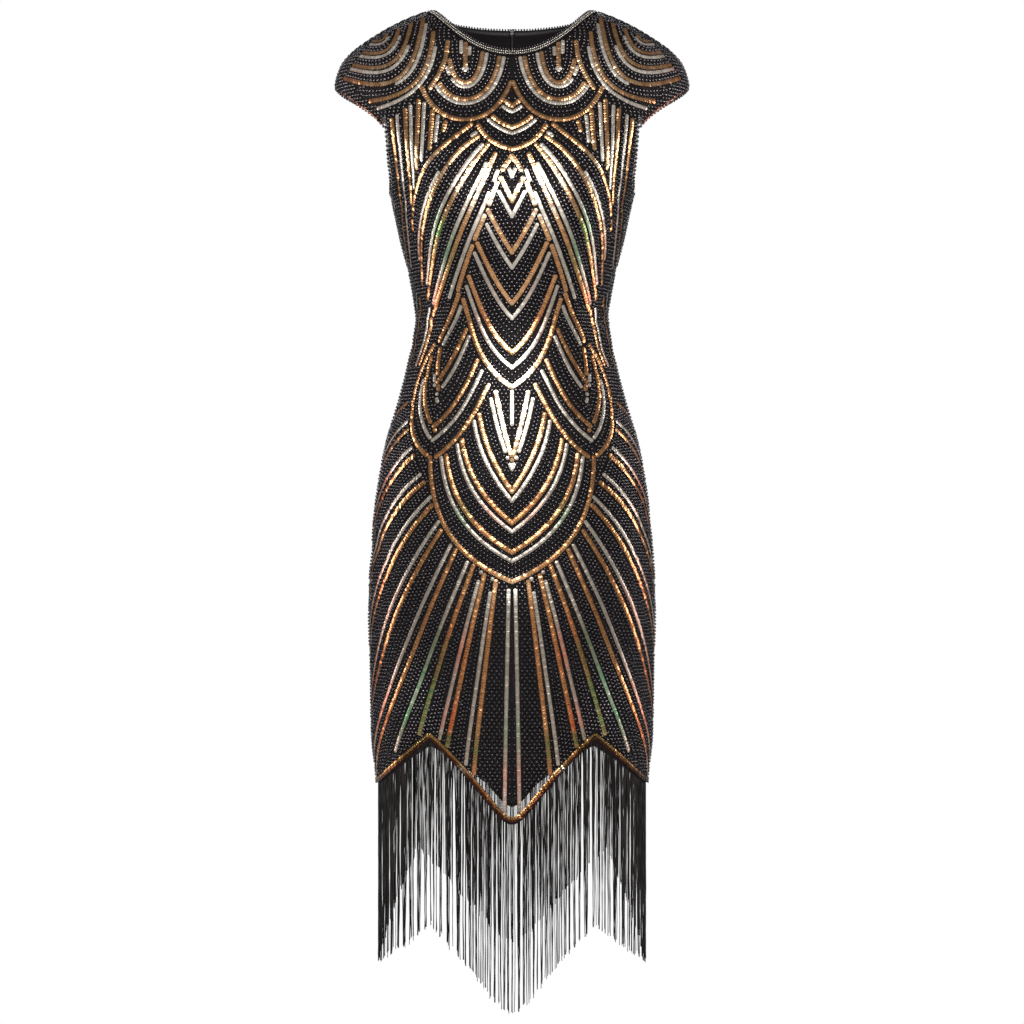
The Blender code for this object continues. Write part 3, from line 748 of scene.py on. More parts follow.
# %% Net panels, caps and lining
front_net, front_net_face = add_sheet("front_net", *both_sides(front_half), TULLE, NET,
                                      slot="beaded_tulle", replaces=["front_panel"])
declare_cloth(front_net, front_net_face, rests_on=["lining_front"])
for side, word in ((-1, "left"), (1, "right")):
    net, face = add_sheet(f"back_net_{word}", *on_back(back_half, side), TULLE, NET,
                          slot="beaded_tulle", replaces=[f"back_panel_{word}"])
    declare_cloth(net, face, rests_on=[f"lining_back_{word}"])
    grid = cap if side > 0 else (-cap[0][:, ::-1], cap[1][:, ::-1])
    net, face = add_sheet(f"cap_net_{word}", *grid, TULLE, CLOSE_NET,
                          slot="beaded_tulle", replaces=[f"sleeve_{word}"])
    declare_cloth(net, face)
front_lining = lining_panel(front_half, FRONT_LINING_HEM, NECK_FRONT)
back_lining = open_for_zip(lining_panel(back_half, BACK_LINING_HEM, NECK_BACK))
satin, face = add_sheet("front_satin", *both_sides(front_lining), LINING, SATIN,
                        slot="satin_lining", replaces=["lining_front"])
declare_cloth(satin, face)
for side, word in ((-1, "left"), (1, "right")):
    satin, face = add_sheet(f"back_satin_{word}", *on_back(back_lining, side), LINING, SATIN,
                            slot="satin_lining", replaces=[f"lining_back_{word}"])
    declare_cloth(satin, face)

# %% [markdown]
# ## The beadwork
#
# On the real dress a chart is pricked on the net and each row is sewn along it. Scallops,
# chevrons and fans of rays are the common ornament of the time. Here a field of rows is drawn
# between a few guide rows, each a soft curve from a start to an end, and each row carries beads
# or sequins at an even pitch. The outlines of the fields are sewn first, then the gold and silver
# rows, and last the black ones. An item that would land on one already sewn is left out, so rows
# open and close as a fan widens.

# %% Rows on the cloth
PLAN_RADIUS = 0.13                  # cloth along a turn of one radian, for drawing rows flat
# Each kind's pitch along a row and radius, in millimetres.
KINDS = {"gold": (3.0, 2.9), "silver": (2.7, 2.55), "bead": (4.5, 1.8)}
FILL_STEP = 4                       # every fourth item across and up is filled at a time
CLOSEST = 0.86                      # least distance of two items as a share of their radii
ZIP_CLEAR = 3.4 * MM


def bow(start, end, early=0.0, late=0.0, plane="turn", steps=48):
    """Turns and heights of a row. Its ends are (turn in degrees or x, height), in millimetres.

    A cubic on four points: the two ends, and two at thirds of the chord that stand off it, to the
    outer side, by early and late times its length. It is drawn on the cloth or from the front."""
    across = math.radians(1) * PLAN_RADIUS if plane == "turn" else MM
    ends = [np.array([place * across, height * MM]) for place, height in (start, end)]
    chord = ends[1] - ends[0]
    beside = np.array([-chord[1], chord[0]])
    inner = [ends[0] + chord / 3 + beside * early, ends[0] + chord * 2 / 3 + beside * late]
    t = np.linspace(0, 1, steps)[:, None]
    plan = ((1 - t) ** 3 * ends[0] + 3 * t * (1 - t) ** 2 * inner[0]
            + 3 * t ** 2 * (1 - t) * inner[1] + t ** 3 * ends[1])
    if plane == "turn":
        return plan[:, 0] / PLAN_RADIUS, plan[:, 1]
    return turn_at(*plan.T), plan[:, 1]


def drawn_between(guides, share, plane):
    """The row of a field at a share, its ends and swells drawn between those of the guide rows."""
    table = np.array(guides)
    start_place, start, end_place, end, early, late = (
        np.interp(share, table[:, 0], table[:, column]) for column in range(1, 7))
    return bow((start_place, start), (end_place, end), early, late, plane)


def through_points(points, steps=40):
    """Turns and heights of a smooth row through points given as x and height in millimetres."""
    line = through_rows([(k, *point) for k, point in enumerate(points)])
    x, height = line(np.linspace(0, len(points) - 1, steps)) * MM
    return turn_at(x, height), height


def along_row(turns, heights, pitch):
    """Places at an even pitch along a row of turns and heights, and the row's direction there."""
    length = lengths_along(form(turns, heights))
    places = np.linspace(0, length[-1], max(round(length[-1] / pitch), 1) + 1)
    turn, height = np.interp(places, length, turns), np.interp(places, length, heights)
    return turn, height, (np.gradient(turn) * PLAN_RADIUS, np.gradient(height))


class Panel:
    """Where items may be sewn on the right half of the front or of the back."""

    def __init__(self, hem, lining_hem, neck_centre, cap_foot, zip_top):
        s = np.linspace(0, 1, 300)
        self.turns = s * QUARTER
        self.hem = scallop(self.turns, hem, SIDE_TIP)
        self.lining = scallop(self.turns, lining_hem, LINING_SIDE_TIP)
        self.slant = band_rise(self.turns, self.hem) / HEM_BAND_WIDTH
        turn, self.neck = neck_curve(s, BINDING_WIDTH + SEAM, neck_centre)
        self.neck_x = half_width(self.neck) * np.sin(turn)
        self.cap_turn, self.cap_edge = cap_free_edge(cap_foot, 1 - s)
        self.foot_height = cap_foot[0]
        self.zip_top = zip_top

    def neckline(self, x):
        return np.interp(x, self.neck_x, self.neck, right=1.0)

    def holds(self, turn, height, radius):
        """True where an item of this radius fits between hem, neck, armhole, side seam and zip."""
        point = form(turn, height)
        x, to_seam = np.abs(point[:, 0]), np.abs(point[:, 1])
        above = height - np.interp(turn, self.turns, self.hem)
        keep = above > (HEM_BAND_WIDTH + 0.8 * radius) * np.interp(turn, self.turns, self.slant)
        keep &= height < self.neckline(x) - 1.2 * radius
        keep &= to_seam > 0.9 * radius
        beyond = x > arm_line(height)[0] - np.where(height < self.foot_height, radius, 0)
        on_cap = height > np.interp(turn, self.cap_turn, self.cap_edge) + 1.2 * radius
        keep &= ~beyond | (height < UNDERARM) | ((height > self.foot_height) & on_cap)
        beads = radius < 2 * MM
        if beads:
            keep &= height > np.interp(turn, self.turns, self.lining) + radius
        keep &= (turn < 1e-9) | (x > (2.2 * MM if beads else 1.0 * MM))
        if self.zip_top:
            keep &= (height < ZIP_FOOT - 4 * MM) | (x > ZIP_CLEAR)
        return keep


class Beadwork:
    """Items sewn on the right half of the front, kept as arrays and tested against each other."""

    def __init__(self, panel):
        self.panel = panel
        self.items = {kind: [] for kind in KINDS}
        self.points, self.radii = np.zeros((0, 3)), np.zeros(0)

    def is_clear(self, points, radius):
        """True where no item already sewn is closer than the radii allow."""
        if not len(self.points):
            return np.ones(len(points), bool)
        low, high = points.min(axis=0) - 5 * MM, points.max(axis=0) + 5 * MM
        near = np.all((self.points > low) & (self.points < high), axis=1)
        gaps = np.linalg.norm(points[:, None] - self.points[near][None], axis=2)
        return ~np.any(gaps < CLOSEST * (self.radii[near][None] + radius), axis=1)

    def keep(self, kind, turn, height, heading):
        radius = KINDS[kind][1] * MM
        points = form(turn, height)
        fits = self.panel.holds(turn, height, radius) & self.is_clear(points, radius)
        self.items[kind].append(np.stack([turn, height, *heading], axis=1)[fits])
        self.points = np.concatenate([self.points, points[fits]])
        self.radii = np.concatenate([self.radii, np.full(int(fits.sum()), radius)])

    def sew(self, kind, row):
        """Puts items at an even pitch along a row of turns and heights."""
        self.keep(kind, *along_row(*row, KINDS[kind][0] * MM))

    def fill(self, kind):
        """Fills what is left with a staggered lattice of items, a sixteenth of them at a time."""
        pitch = KINDS[kind][0] * MM
        across, up = np.meshgrid(np.arange(0.5, QUARTER * PLAN_RADIUS / pitch), np.arange(-4, 240))
        turn = (across + 0.5 * (up % 2)) * pitch / PLAN_RADIUS
        height = -up * pitch * math.sqrt(0.75)
        for part in range(FILL_STEP ** 2):
            column, row = part % FILL_STEP, part // FILL_STEP
            keep = (turn < QUARTER) & (across % FILL_STEP // 1 == column) & (up % FILL_STEP == row)
            flat = np.zeros(int(keep.sum()))
            self.keep(kind, turn[keep], height[keep], (flat + 1, flat))


front_side = Panel(FRONT_HEM, FRONT_LINING_HEM, NECK_FRONT, CAP_FEET[0], zip_top=False)
back_side = Panel(BACK_HEM, BACK_LINING_HEM, NECK_BACK, CAP_FEET[1], zip_top=True)
print("kinds", KINDS)

# %% [markdown]
# ### The chart
#
# The chart is traditional: a pair of U-shaped loops under the neck, rings about each shoulder,
# nested chevrons down the middle, rays that leave them for the waist, a leaf on each hip, and a
# wide fan on the skirt. Each field needs only its guide rows. Rays run from the top down.

# %% Guide rows of each field
# Columns: share, place and height of the start, place and height of the end, swell early and late.
# A place is a turn in degrees, or for fields seen from the front an x in millimetres. Gold rows are
# at whole shares and silver ones a little before or after. Rows between two guides are even.
SKIRT_FAN = (
    (0, 2, -640, 5, -900, 0, 0),
    (3, 15, -610, 40, -800, 0, 0),
    (4, 22, -590, 90, -870, -0.05, -0.1),
    (7, 40, -520, 90, -670, 0.1, 0.05),
    (10, 65, -430, 90, -460, 0.05, 0.05),
)
CENTRE_STACK = (
    (1, 8, -420, 0, -495, 0, 0),
    (3, 23, -470, 0, -565, 0.1, 0.1),
    (5, 38, -492, 0, -630, 0.15, 0.2),
)
LEAF_INSIDE = (
    (0, 32, -310, 45, -360, 0, 0.05),
    (1.5, 24, -365, 40, -430, -0.05, -0.1),
    (2.7, 12, -412, 37, -494, -0.05, -0.15),
)
LEAF_OUTSIDE = (
    (1, 80, -370, 82, -415, 0.05, 0.05),
    (2.7, 97, -385, 89, -494, 0.15, 0.3),
)
CHEVRONS = (
    (1, 5, -185, 0, -210, 0, 0),
    (4.7, 29, -316, 0, -414, 0.1, 0.15),
)
BODICE_RAYS = (
    (0, 6, -185, 32, -305, -0.05, 0),
    (1, 7, -158, 54, -330, -0.05, -0.05),
    (3, 12, -136, 62, -295, 0.1, 0.1),
    (4, 14, -122, 57, -220, 0, 0.15),
)
SIDE_LINES = (
    (0, 72, -115, 76, -130, 0, 0),
    (2, 104, -95, 106, -170, 0, 0),
    (4, 134, -115, 116, -300, 0, 0),
)
WAIST_LINES = (
    (0, 90, -330, 104, -385, -0.05, -0.05),
    (1.3, 108, -305, 122, -390, -0.05, -0.05),
)
RINGS = (
    (0.7, 85, -20, 150, -100, -0.25, -0.3),
    (2, 100, 5, 190, -60, -0.35, -0.65),
    (5, 142, -12, 157, -18, -0.35, -0.35),
)
# Columns: guides, plane, shares of outlines, shares of gold rows, share from gold to silver,
# number of black rows.
FIELDS = (
    (CHEVRONS, "turn", (4.7,), range(1, 5), 0.3, 4),
    (CENTRE_STACK, "turn", (5,), range(1, 5), 0.3, 4),
    (LEAF_INSIDE, "turn", (2.7,), range(0, 3), 0.3, 3),
    (LEAF_OUTSIDE, "x", (), range(1, 3), 0.3, 3),
    (BODICE_RAYS, "turn", (4,), range(0, 4), 0.3, 3),
    (RINGS, "x", (), range(1, 6), -0.3, 2),
    (SIDE_LINES, "x", (), range(0, 5), -0.4, 2),
    (WAIST_LINES, "x", (), range(0, 2), 0.3, 2),
    (SKIRT_FAN, "turn", (3,), range(1, 11), 0.3, 5),
)
# Loops under the neck. Each is wider and lower than the last by the same step.
LOOP_STEP = 4.9
LOOPS = tuple((LOOP_STEP * k, -55 - LOOP_STEP * k, kind)
              for k, kind in enumerate(("gold", "silver", "bead", "bead") * 3))
LOOP_BORDER = (58, -118)            # half width and lowest point of the loop round them all
LOOP_TOP = -26.0
LOOP_CENTRE = 52.0
LOOP_SQUARE = 2.15                  # power of the curve: 2 is round, more is squarer
# The row at the loops' side leaves the vertical by the square of its share of the way down.
LOOP_SIDE = tuple((72 + 19 * share ** 2, -26 - 54 * share) for share in (0, 0.35, 0.7, 1))
# Short rows. Columns: kind, plane, start, end, swell.
SHORT_ROWS = (
    ("gold", "turn", (12, -125), (0, -152), 0.2),
    ("gold", "x", (87, -365), (112, -445), 0.1),
    ("gold", "x", (112, -445), (89, -494), 0.2),
    ("gold", "turn", (3, -92), (0, -102), 0.1),
    ("silver", "turn", (4, -99), (0, -109), 0.1),
    ("gold", "turn", (7, -113), (0, -127), 0.1),
    ("silver", "turn", (8, -119), (0, -134), 0.1),
    ("gold", "turn", (0, -160), (4, -175), 0),
    ("silver", "turn", (2, -170), (0, -183), 0),
    ("silver", "turn", (0, -414), (0, -455), 0),
    ("silver", "turn", (1.3, -640), (3.2, -900), 0),
)


def loop_row(half, lowest, steps=90):
    """A loop that hangs under the neck: half an ellipse, made squarer by the given power.

    Where it would pass the row at the side, it stops."""
    angle = np.linspace(0, HALF_TURN, steps)
    x = LOOP_CENTRE + half * np.sign(np.cos(angle)) * np.abs(np.cos(angle)) ** (2 / LOOP_SQUARE)
    height = LOOP_TOP + (lowest - LOOP_TOP) * np.sin(angle) ** (2 / LOOP_SQUARE)
    side_x, side_height = np.array(LOOP_SIDE[::-1]).T
    keep = (x > 0) & ((x < np.interp(height, side_height, side_x) - 4) | (height < side_height[0]))
    x, height = x[keep], height[keep]
    return turn_at(x * MM, height * MM), height * MM


def sew_chart(work):
    """Sews outlines, then gold and silver rows, then the black rows, then fills."""
    work.sew("gold", through_points(LOOP_SIDE))
    work.sew("gold", loop_row(*LOOP_BORDER))
    for guides, plane, outlines, *_ in FIELDS:
        for share in outlines:
            work.sew("gold", drawn_between(guides, share, plane))
    for kind, plane, start, end, swell in SHORT_ROWS:
        work.sew(kind, bow(start, end, swell, swell, plane))
    for wanted in KINDS:
        for half, lowest, kind in LOOPS:
            if kind == wanted:
                work.sew(kind, loop_row(half, lowest))
        for guides, plane, _, gold, to_silver, black in FIELDS:
            for share in gold:
                if wanted == "gold":
                    work.sew("gold", drawn_between(guides, share, plane))
                if wanted == "silver":
                    work.sew("silver", drawn_between(guides, share + to_silver, plane))
                if wanted == "bead":
                    first = share + to_silver if to_silver > 0 else share
                    for step in range(1, black + 1):
                        between = first + (1 - abs(to_silver)) * step / (black + 1)
                        work.sew("bead", drawn_between(guides, between, plane))
                    if to_silver < 0 and share == gold[0]:
                        work.sew("bead", drawn_between(guides, share - 0.8, plane))
    work.fill("bead")


chart = Beadwork(front_side)
sew_chart(chart)
print({kind: sum(len(part) for part in parts) for kind, parts in chart.items.items()})

# %% [markdown]
# ### Items from the chart
#
# The left half mirrors the right, and the back repeats the front, drawn up to its higher
# neckline. A sequin is a shallow disc of eight facets that leans on its neighbour like a roof
# tile. A bead is a rounded drop. Each is a little out of true, as sewn ones are, and that makes
# the glitter uneven.

# %% Sew the items on
RING_8, RING_6 = (np.stack([np.cos(np.arange(count) * 2 * math.pi / count),
                            np.sin(np.arange(count) * 2 * math.pi / count)], -1)
                  for count in (8, 6))


def disc(ring, rise):
    """A ring of points and a middle one raised above it, with a triangle on each side."""
    count = len(ring)
    points = np.concatenate([np.column_stack([ring, np.zeros(count)]), [[0, 0, rise]]])
    return points, [(k, (k + 1) % count, count) for k in range(count)]


def drop(ring):
    """A wide ring low down, a narrower one above it and a point on top."""
    count = len(ring)
    points = np.concatenate([np.column_stack([ring, np.full(count, -0.25)]),
                             np.column_stack([ring * 0.66, np.full(count, 0.66)]), [[0, 0, 0.88]]])
    faces = []
    for k in range(count):
        after = (k + 1) % count
        faces += [(k, after, count + after), (k, count + after, count + k),
                  (count + k, count + after, 2 * count)]
    return points, faces


ROW_RISE = 0.14                     # how domed a sequin is, as a share of its radius
# Columns: template, material, slot, lift above the net in millimetres, lean along the row,
# unevenness.
MAKES = {
    "gold": (disc(RING_8, ROW_RISE), GOLD_FILM, "gold_sequins", 0.75, 0.10, 0.06),
    "silver": (disc(RING_6, ROW_RISE), SILVER_FILM, "gold_sequins", 0.70, 0.08, 0.05),
    "bead": (drop(RING_6), BLACK_GLASS, "beaded_tulle", 0.45, 0.0, 0.12),
}
# Painted reflections: where the film is painted copper or green, the colours sequins flash at
# some angles. Columns: turn, height, reach in degrees, reach in millimetres, copper, green.
PAINTED_REFLECTIONS = (
    (38, -250, 6, 32, 0.0, 0.95),
    (50, -312, 7, 25, 0.7, 0.0),
    (21, -562, 4, 22, 0.0, 0.6),
    (30, -700, 5, 22, 0.1, 0.7),
    (36, -745, 6, 30, 0.0, 1.0),
    (45, -785, 9, 22, 0.0, 1.0),
    (27, -806, 3, 9, 0.0, 1.0),
    (13, -817, 4, 16, 0.0, 0.8),
    (4, -800, 3, 25, 0.0, 0.5),
    (25, -790, 5, 26, 0.9, 0.0),
    (8, -845, 8, 30, 0.7, 0.0),
    (22, -700, 4, 28, 0.8, 0.0),
    (70, -770, 16, 60, 0.9, 0.0),
    (62, -640, 10, 40, 0.7, 0.0),
    (72, -520, 12, 45, 0.8, 0.0),
    (74, -400, 14, 30, 0.6, 0.0),
    (60, -250, 10, 35, 0.5, 0.1),
    (20, -190, 7, 30, 0.4, 0.1),
    (75, -60, 12, 25, 0.9, 0.0),
    (58, -90, 7, 20, 0.6, 0.0),
    (14, -330, 6, 24, 0.5, 0.1),
    (9, -555, 6, 18, 0.4, 0.0),
)
# Painted light: where the film is painted lighter as highlights, and with a negative amount darker
# as painted shade on the lower skirt. Columns: turn, height, reaches as above, how much.
PAINTED_LIGHT_BELLS = (
    (14, -200, 14, 40, 0.9),
    (38, -165, 10, 30, 0.5),
    (40, -60, 60, 50, 0.4),
    (0, -330, 10, 95, 0.35),
    (10, -400, 9, 25, 0.5),
    (3, -450, 9, 50, 0.65),
    (0, -636, 8, 16, 0.7),
    (75, -480, 16, 70, 0.3),
    (40, -765, 10, 45, 0.5),
    (22, -842, 3, 9, 0.9),
    (30, -720, 75, 120, -0.2),
)
SHADE = 0.28                        # painted shade: how light the film is away from the painted highlights


def bells(turn, height, table):
    """Sum of a bell about each row of a table, one sum for each of its last columns."""
    turn = np.degrees(np.abs(turn))
    turn = np.minimum(turn, 180 - turn)
    sums = 0
    for middle, level, reach, reach_up, *amounts in table:
        bell = np.exp(-((turn - middle) / reach) ** 2 - ((height / MM - level) / reach_up) ** 2)
        sums = sums + np.outer(amounts, bell)
    return sums


def add_items(name, turn, height, heading, make, radius, chance, out=0.0, tinted=1.0):
    """One mesh of many items. heading is the row's direction along the turn and the height."""
    (template, faces), material, slot, lift, lean, uneven = make
    around, upward = (unit(slope) for slope in slopes_at(turn, height))
    normal = outward(turn, height)
    along = unit(heading[0][:, None] * around + heading[1][:, None] * upward)
    side = np.cross(normal, along)
    leaned = unit(normal + lean * along + chance.normal(0, uneven, (len(turn), 3)))
    along = unit(along - leaned * (along * leaned).sum(axis=1)[:, None])
    side = np.cross(leaned, along)
    scale = (radius * chance.uniform(0.94, 1.06, len(turn)))[:, None]
    places = surface(turn, height, lift * MM + out)
    points, mesh_faces = repeat_shape(template, faces, places,
                                      along * scale, side * scale, leaned * scale)
    piece = add_piece(name, points, mesh_faces, material, slot=slot, smooth=len(faces) > 8)
    # Painted reflections: copper and green at the listed places, less at random.
    copper_reflection, green_reflection = tinted * np.clip(bells(turn, height, PAINTED_REFLECTIONS), 0, 1)
    # Painted light: lighter at the painted highlights and painted shade elsewhere, then a little
    # random tone for each item.
    light = np.clip(SHADE + bells(turn, height, PAINTED_LIGHT_BELLS)[0], 0, 1)
    painted_light_and_tone = np.clip(light * chance.uniform(0.7, 1.15, len(turn)), 0, 1)
    copper_reflection = copper_reflection * chance.uniform(0.5, 1.0, len(turn))
    green_reflection = green_reflection * chance.uniform(0.6, 1.0, len(turn))
    for label, values in (("painted_light_and_tone", painted_light_and_tone), ("copper_reflection", copper_reflection), ("green_reflection", green_reflection)):
        set_attribute(piece, label, np.repeat(values, len(template)))
    from_middle = np.linalg.norm(template[:, :2], axis=1)
    set_attribute(piece, "rim", np.tile(from_middle, len(turn)))
    return piece


def with_mirror(turn, height, heading):
    """The items and their mirror images, with those on the centre line kept once."""
    off_centre = np.abs(np.sin(turn)) > 1e-9
    both = [np.concatenate([turn, -turn[off_centre]]), np.concatenate([height, height[off_centre]])]
    return *both, (np.concatenate([heading[0], -heading[0][off_centre]]),
                   np.concatenate([heading[1], heading[1][off_centre]]))


LIFT_FOOT = -0.22                   # below this the back's rows stay at the front's height


def for_back(turn, height, heading, radius):
    """The right half's items moved to the back, and lifted near the neck to its higher line."""
    x = np.abs(form(turn, height)[:, 0])
    front_line, back_line = (np.interp(x, side.neck_x, side.neck)
                             for side in (front_side, back_side))
    climb = np.clip((height - LIFT_FOOT) / (front_line - LIFT_FOOT), 0, 1)
    height = height + (back_line - front_line) * climb ** 2 * (3 - 2 * climb)
    keep = back_side.holds(turn, height, radius)
    return HALF_TURN - turn[keep], height[keep], (-heading[0][keep], heading[1][keep])


for kind, (pitch, radius) in KINDS.items():
    turn, height, *heading = np.concatenate(chart.items[kind]).T
    chance = np.random.default_rng(FIXED_SEED)
    front = turn, height, heading
    back = for_back(*front, radius * MM)
    for word, items in (("front", front), ("back", back)):
        add_items(f"{word}_{kind}", *with_mirror(*items), MAKES[kind], radius * MM, chance)

# %% [markdown]
# ## Edges
#
# The neckline is bound with a narrow strip that carries two close rows of silver-grey beads, and
# small beads stand on its edge like teeth. Larger ones stand along the armholes and the caps.
# They are sewn one by one on the real dress, so here they are the same bead repeated along each
# edge.

# %% Neck, armhole and cap edges
def round_bead(ring):
    """A bead seen from all sides: two rings and a point at each end."""
    count = len(ring)
    points = np.concatenate([[[0, 0, -0.9]], np.column_stack([ring * 0.88, np.full(count, -0.42)]),
                             np.column_stack([ring * 0.88, np.full(count, 0.42)]), [[0, 0, 0.9]]])
    faces = []
    for k in range(count):
        low, low_next = 1 + k, 1 + (k + 1) % count
        high, high_next = low + count, low_next + count
        faces += [(0, low_next, low), (low, low_next, high_next), (low, high_next, high),
                  (high, high_next, 2 * count + 1)]
    return points, faces


HEM_RISE = 0.16                     # how domed the sequins of hem and cap rim are
EDGE_BEAD = (round_bead(RING_6), BLACK_GLASS, "beaded_tulle", 0.0, 0.0, 0.15)
NECK_BEAD = (round_bead(RING_6), SILVER_GLASS, "silver_binding", 0.75, 0.0, 0.15)
# Rows round the neck. Columns: distance in from the edge, pitch and radius in millimetres.
NECK_BEAD_ROWS = ((4.4, 2.35, 1.25), (1.8, 2.35, 1.25))
NECK_TEETH = (-1.0, 3.3, 1.25)


def add_edge(name, rows, pitch, radius, make, **facts):
    """Beads along one or more rows, as one piece."""
    turn, height, across, up = [], [], [], []
    for turns, heights in rows:
        places = along_row(turns, heights, pitch)
        for values, part in zip((turn, height, across, up), (*places[:2], *places[2])):
            values.append(part)
    turn, height, across, up = (np.concatenate(values) for values in (turn, height, across, up))
    chance = np.random.default_rng(FIXED_SEED)
    return add_items(name, turn, height, (across, up), make, radius, chance, **facts)


def round_neck(widen, steps=90):
    """Turns and heights all round the neck from the zip's left edge over the front to its right."""
    s = np.linspace(0, 1, steps)
    front_turn, front_height = neck_curve(s, widen, NECK_FRONT)
    back_turn, back_height = neck_curve(s, widen, NECK_BACK)
    back_turn[0] = turn_at(ZIP_GAP, back_height[:1])[0]
    turn = np.concatenate([front_turn, HALF_TURN - back_turn[-2::-1]])
    height = np.concatenate([front_height, back_height[-2::-1]])
    return np.concatenate([-turn[:0:-1], turn]), np.concatenate([height[:0:-1], height])


strip = [round_neck(widen) for widen in np.linspace(BINDING_WIDTH, 0, 5)]
binding, face = add_sheet("neck_strip", *as_grid(strip), BINDING, TAPE,
                          slot="silver_binding", replaces=["neck_binding"])
declare_cloth(binding, face, "folded", layers=1.5)
for number, (widen, pitch, radius) in enumerate(NECK_BEAD_ROWS):
    add_edge(f"neck_beads_{number}", [round_neck(widen * MM)], pitch * MM, radius * MM, NECK_BEAD)
widen, pitch, radius = NECK_TEETH
add_edge("neck_teeth", [round_neck(widen * MM)], pitch * MM, radius * MM, EDGE_BEAD)


def armhole_rows():
    """The open edge of each armhole below the cap, front and back, on both sides."""
    rows = []
    for turns_about, (foot, _, _) in ((0, CAP_FEET[0]), (HALF_TURN, CAP_FEET[1])):
        height = np.linspace(foot, UNDERARM, 40)
        turn = turn_at(arm_line(height)[0], height)
        turn = turn if turns_about == 0 else HALF_TURN - turn
        rows += [(turn, height), (-turn, height)]
    return rows


cap_edge = (cap[0][0], cap[1][0])
cap_edges = [cap_edge, (-cap_edge[0], cap_edge[1])]
EDGE_PITCH, EDGE_OUT = 5.3 * MM, -0.5 * MM
ARMHOLE_BEAD, CAP_BEAD, RIM_SEQUIN = 1.8 * MM, 1.9 * MM, 2.0 * MM
CAP_BEAD_DROP, RIM_RISE, RIM_PITCH = 1.0 * MM, 2.6 * MM, 2.6 * MM
add_edge("armhole_beads", armhole_rows(), EDGE_PITCH, ARMHOLE_BEAD, EDGE_BEAD, out=EDGE_OUT)
cap_foot_row = [(turn, height - CAP_BEAD_DROP) for turn, height in cap_edges]
add_edge("cap_edge_beads", cap_foot_row, EDGE_PITCH, CAP_BEAD, EDGE_BEAD, out=EDGE_OUT)
cap_rim = [(turn, height + RIM_RISE) for turn, height in cap_edges]
# Painted shade: the cap's rim sequins use the darker copy of the hem film.
rim_sequin = (disc(RING_8, HEM_RISE), SHADED_FILM, "gold_sequins", 0.75, 0.1, 0.1)
add_edge("cap_edge_gold", cap_rim, RIM_PITCH, RIM_SEQUIN, rim_sequin, tinted=0.1)

# %% [markdown]
# ## Hem band and fringe
#
# The band is a ribbon with two rows of gold sequins that hides the seam of the fringe. A bought
# fringe is a braid with loops of rayon: the strands hang free, gather in locks and end unevenly.
# Each strand is a thin three-sided cord. Its place in a lock, its twist and its length come from
# a fixed seed.

# %% Hem band
def hem_row(rise, front, steps=400):
    """Turns and heights along the hem at a share of the band's height, on the front or the back."""
    middle, hem = (0, FRONT_HEM) if front else (HALF_TURN, BACK_HEM)
    side = np.linspace(-QUARTER, QUARTER, steps)
    side[[0, -1]] *= 1 - 0.001
    foot = scallop(np.abs(side), hem, SIDE_TIP)
    return side + middle, foot + rise * band_rise(side, foot)


HEM_PITCH = 2.5 * MM
# Rows on the band; the lower row's darker film is painted shade. Columns: word, share of the band's
# height, film, radius in millimetres, tint as a share of the painted reflections.
HEM_ROWS = (("upper", 0.72, BRONZE_FILM, 1.9, 0.8), ("lower", 0.22, SHADED_FILM, 2.0, 0.1))
for front, word in ((True, "front"), (False, "back")):
    rows = [hem_row(rise, front) for rise in np.linspace(0, 1, 3)]
    add_sheet(f"hem_ribbon_{word}", *as_grid(rows), HEM_LAYER,
              TAPE, slot="gold_sequins", replaces=[f"hem_band_{word}"])
    for row, rise, film, radius, tinted in HEM_ROWS:
        make = (disc(RING_8, HEM_RISE), film, "gold_sequins", 1.4, 0.20, 0.10)
        add_edge(f"hem_{row}_{word}", [hem_row(rise, front)], HEM_PITCH, radius * MM, make,
                 tinted=tinted)

# %% Fringe
BRAID_DROP = 3.0 * MM               # how far the braid shows under the hem
BRAID_LAYER = (-1.1 * MM, -2.3 * MM)
BRAID_MIDDLE = -1.7 * MM
ROOT_INSIDE = 0.4 * MM              # how far a strand starts inside the braid
STRAND_TWIST = 9.0                  # radians from root to end
FRINGE_STRANDS = 290                # on each of front and back
STRAND_RADIUS = 0.62 * MM
STRAND_STEPS = 11
LOCK_SIZES = (1, 1, 2, 2, 3, 3, 4, 5, 8)
# Lengths from the hem. Columns: sine of the turn, length.
FRINGE_LENGTHS = ((0.0, 0.2115), (0.57, 0.2085), (1.0, 0.2020))


def locks_along(count, chance):
    """A number for each strand: the mean place of the lock it belongs to."""
    places = np.arange(count, dtype=float)
    start = 0
    while start < count:
        size = int(chance.choice(LOCK_SIZES))
        places[start:start + size] = places[start:start + size].mean()
        start += size
    return places


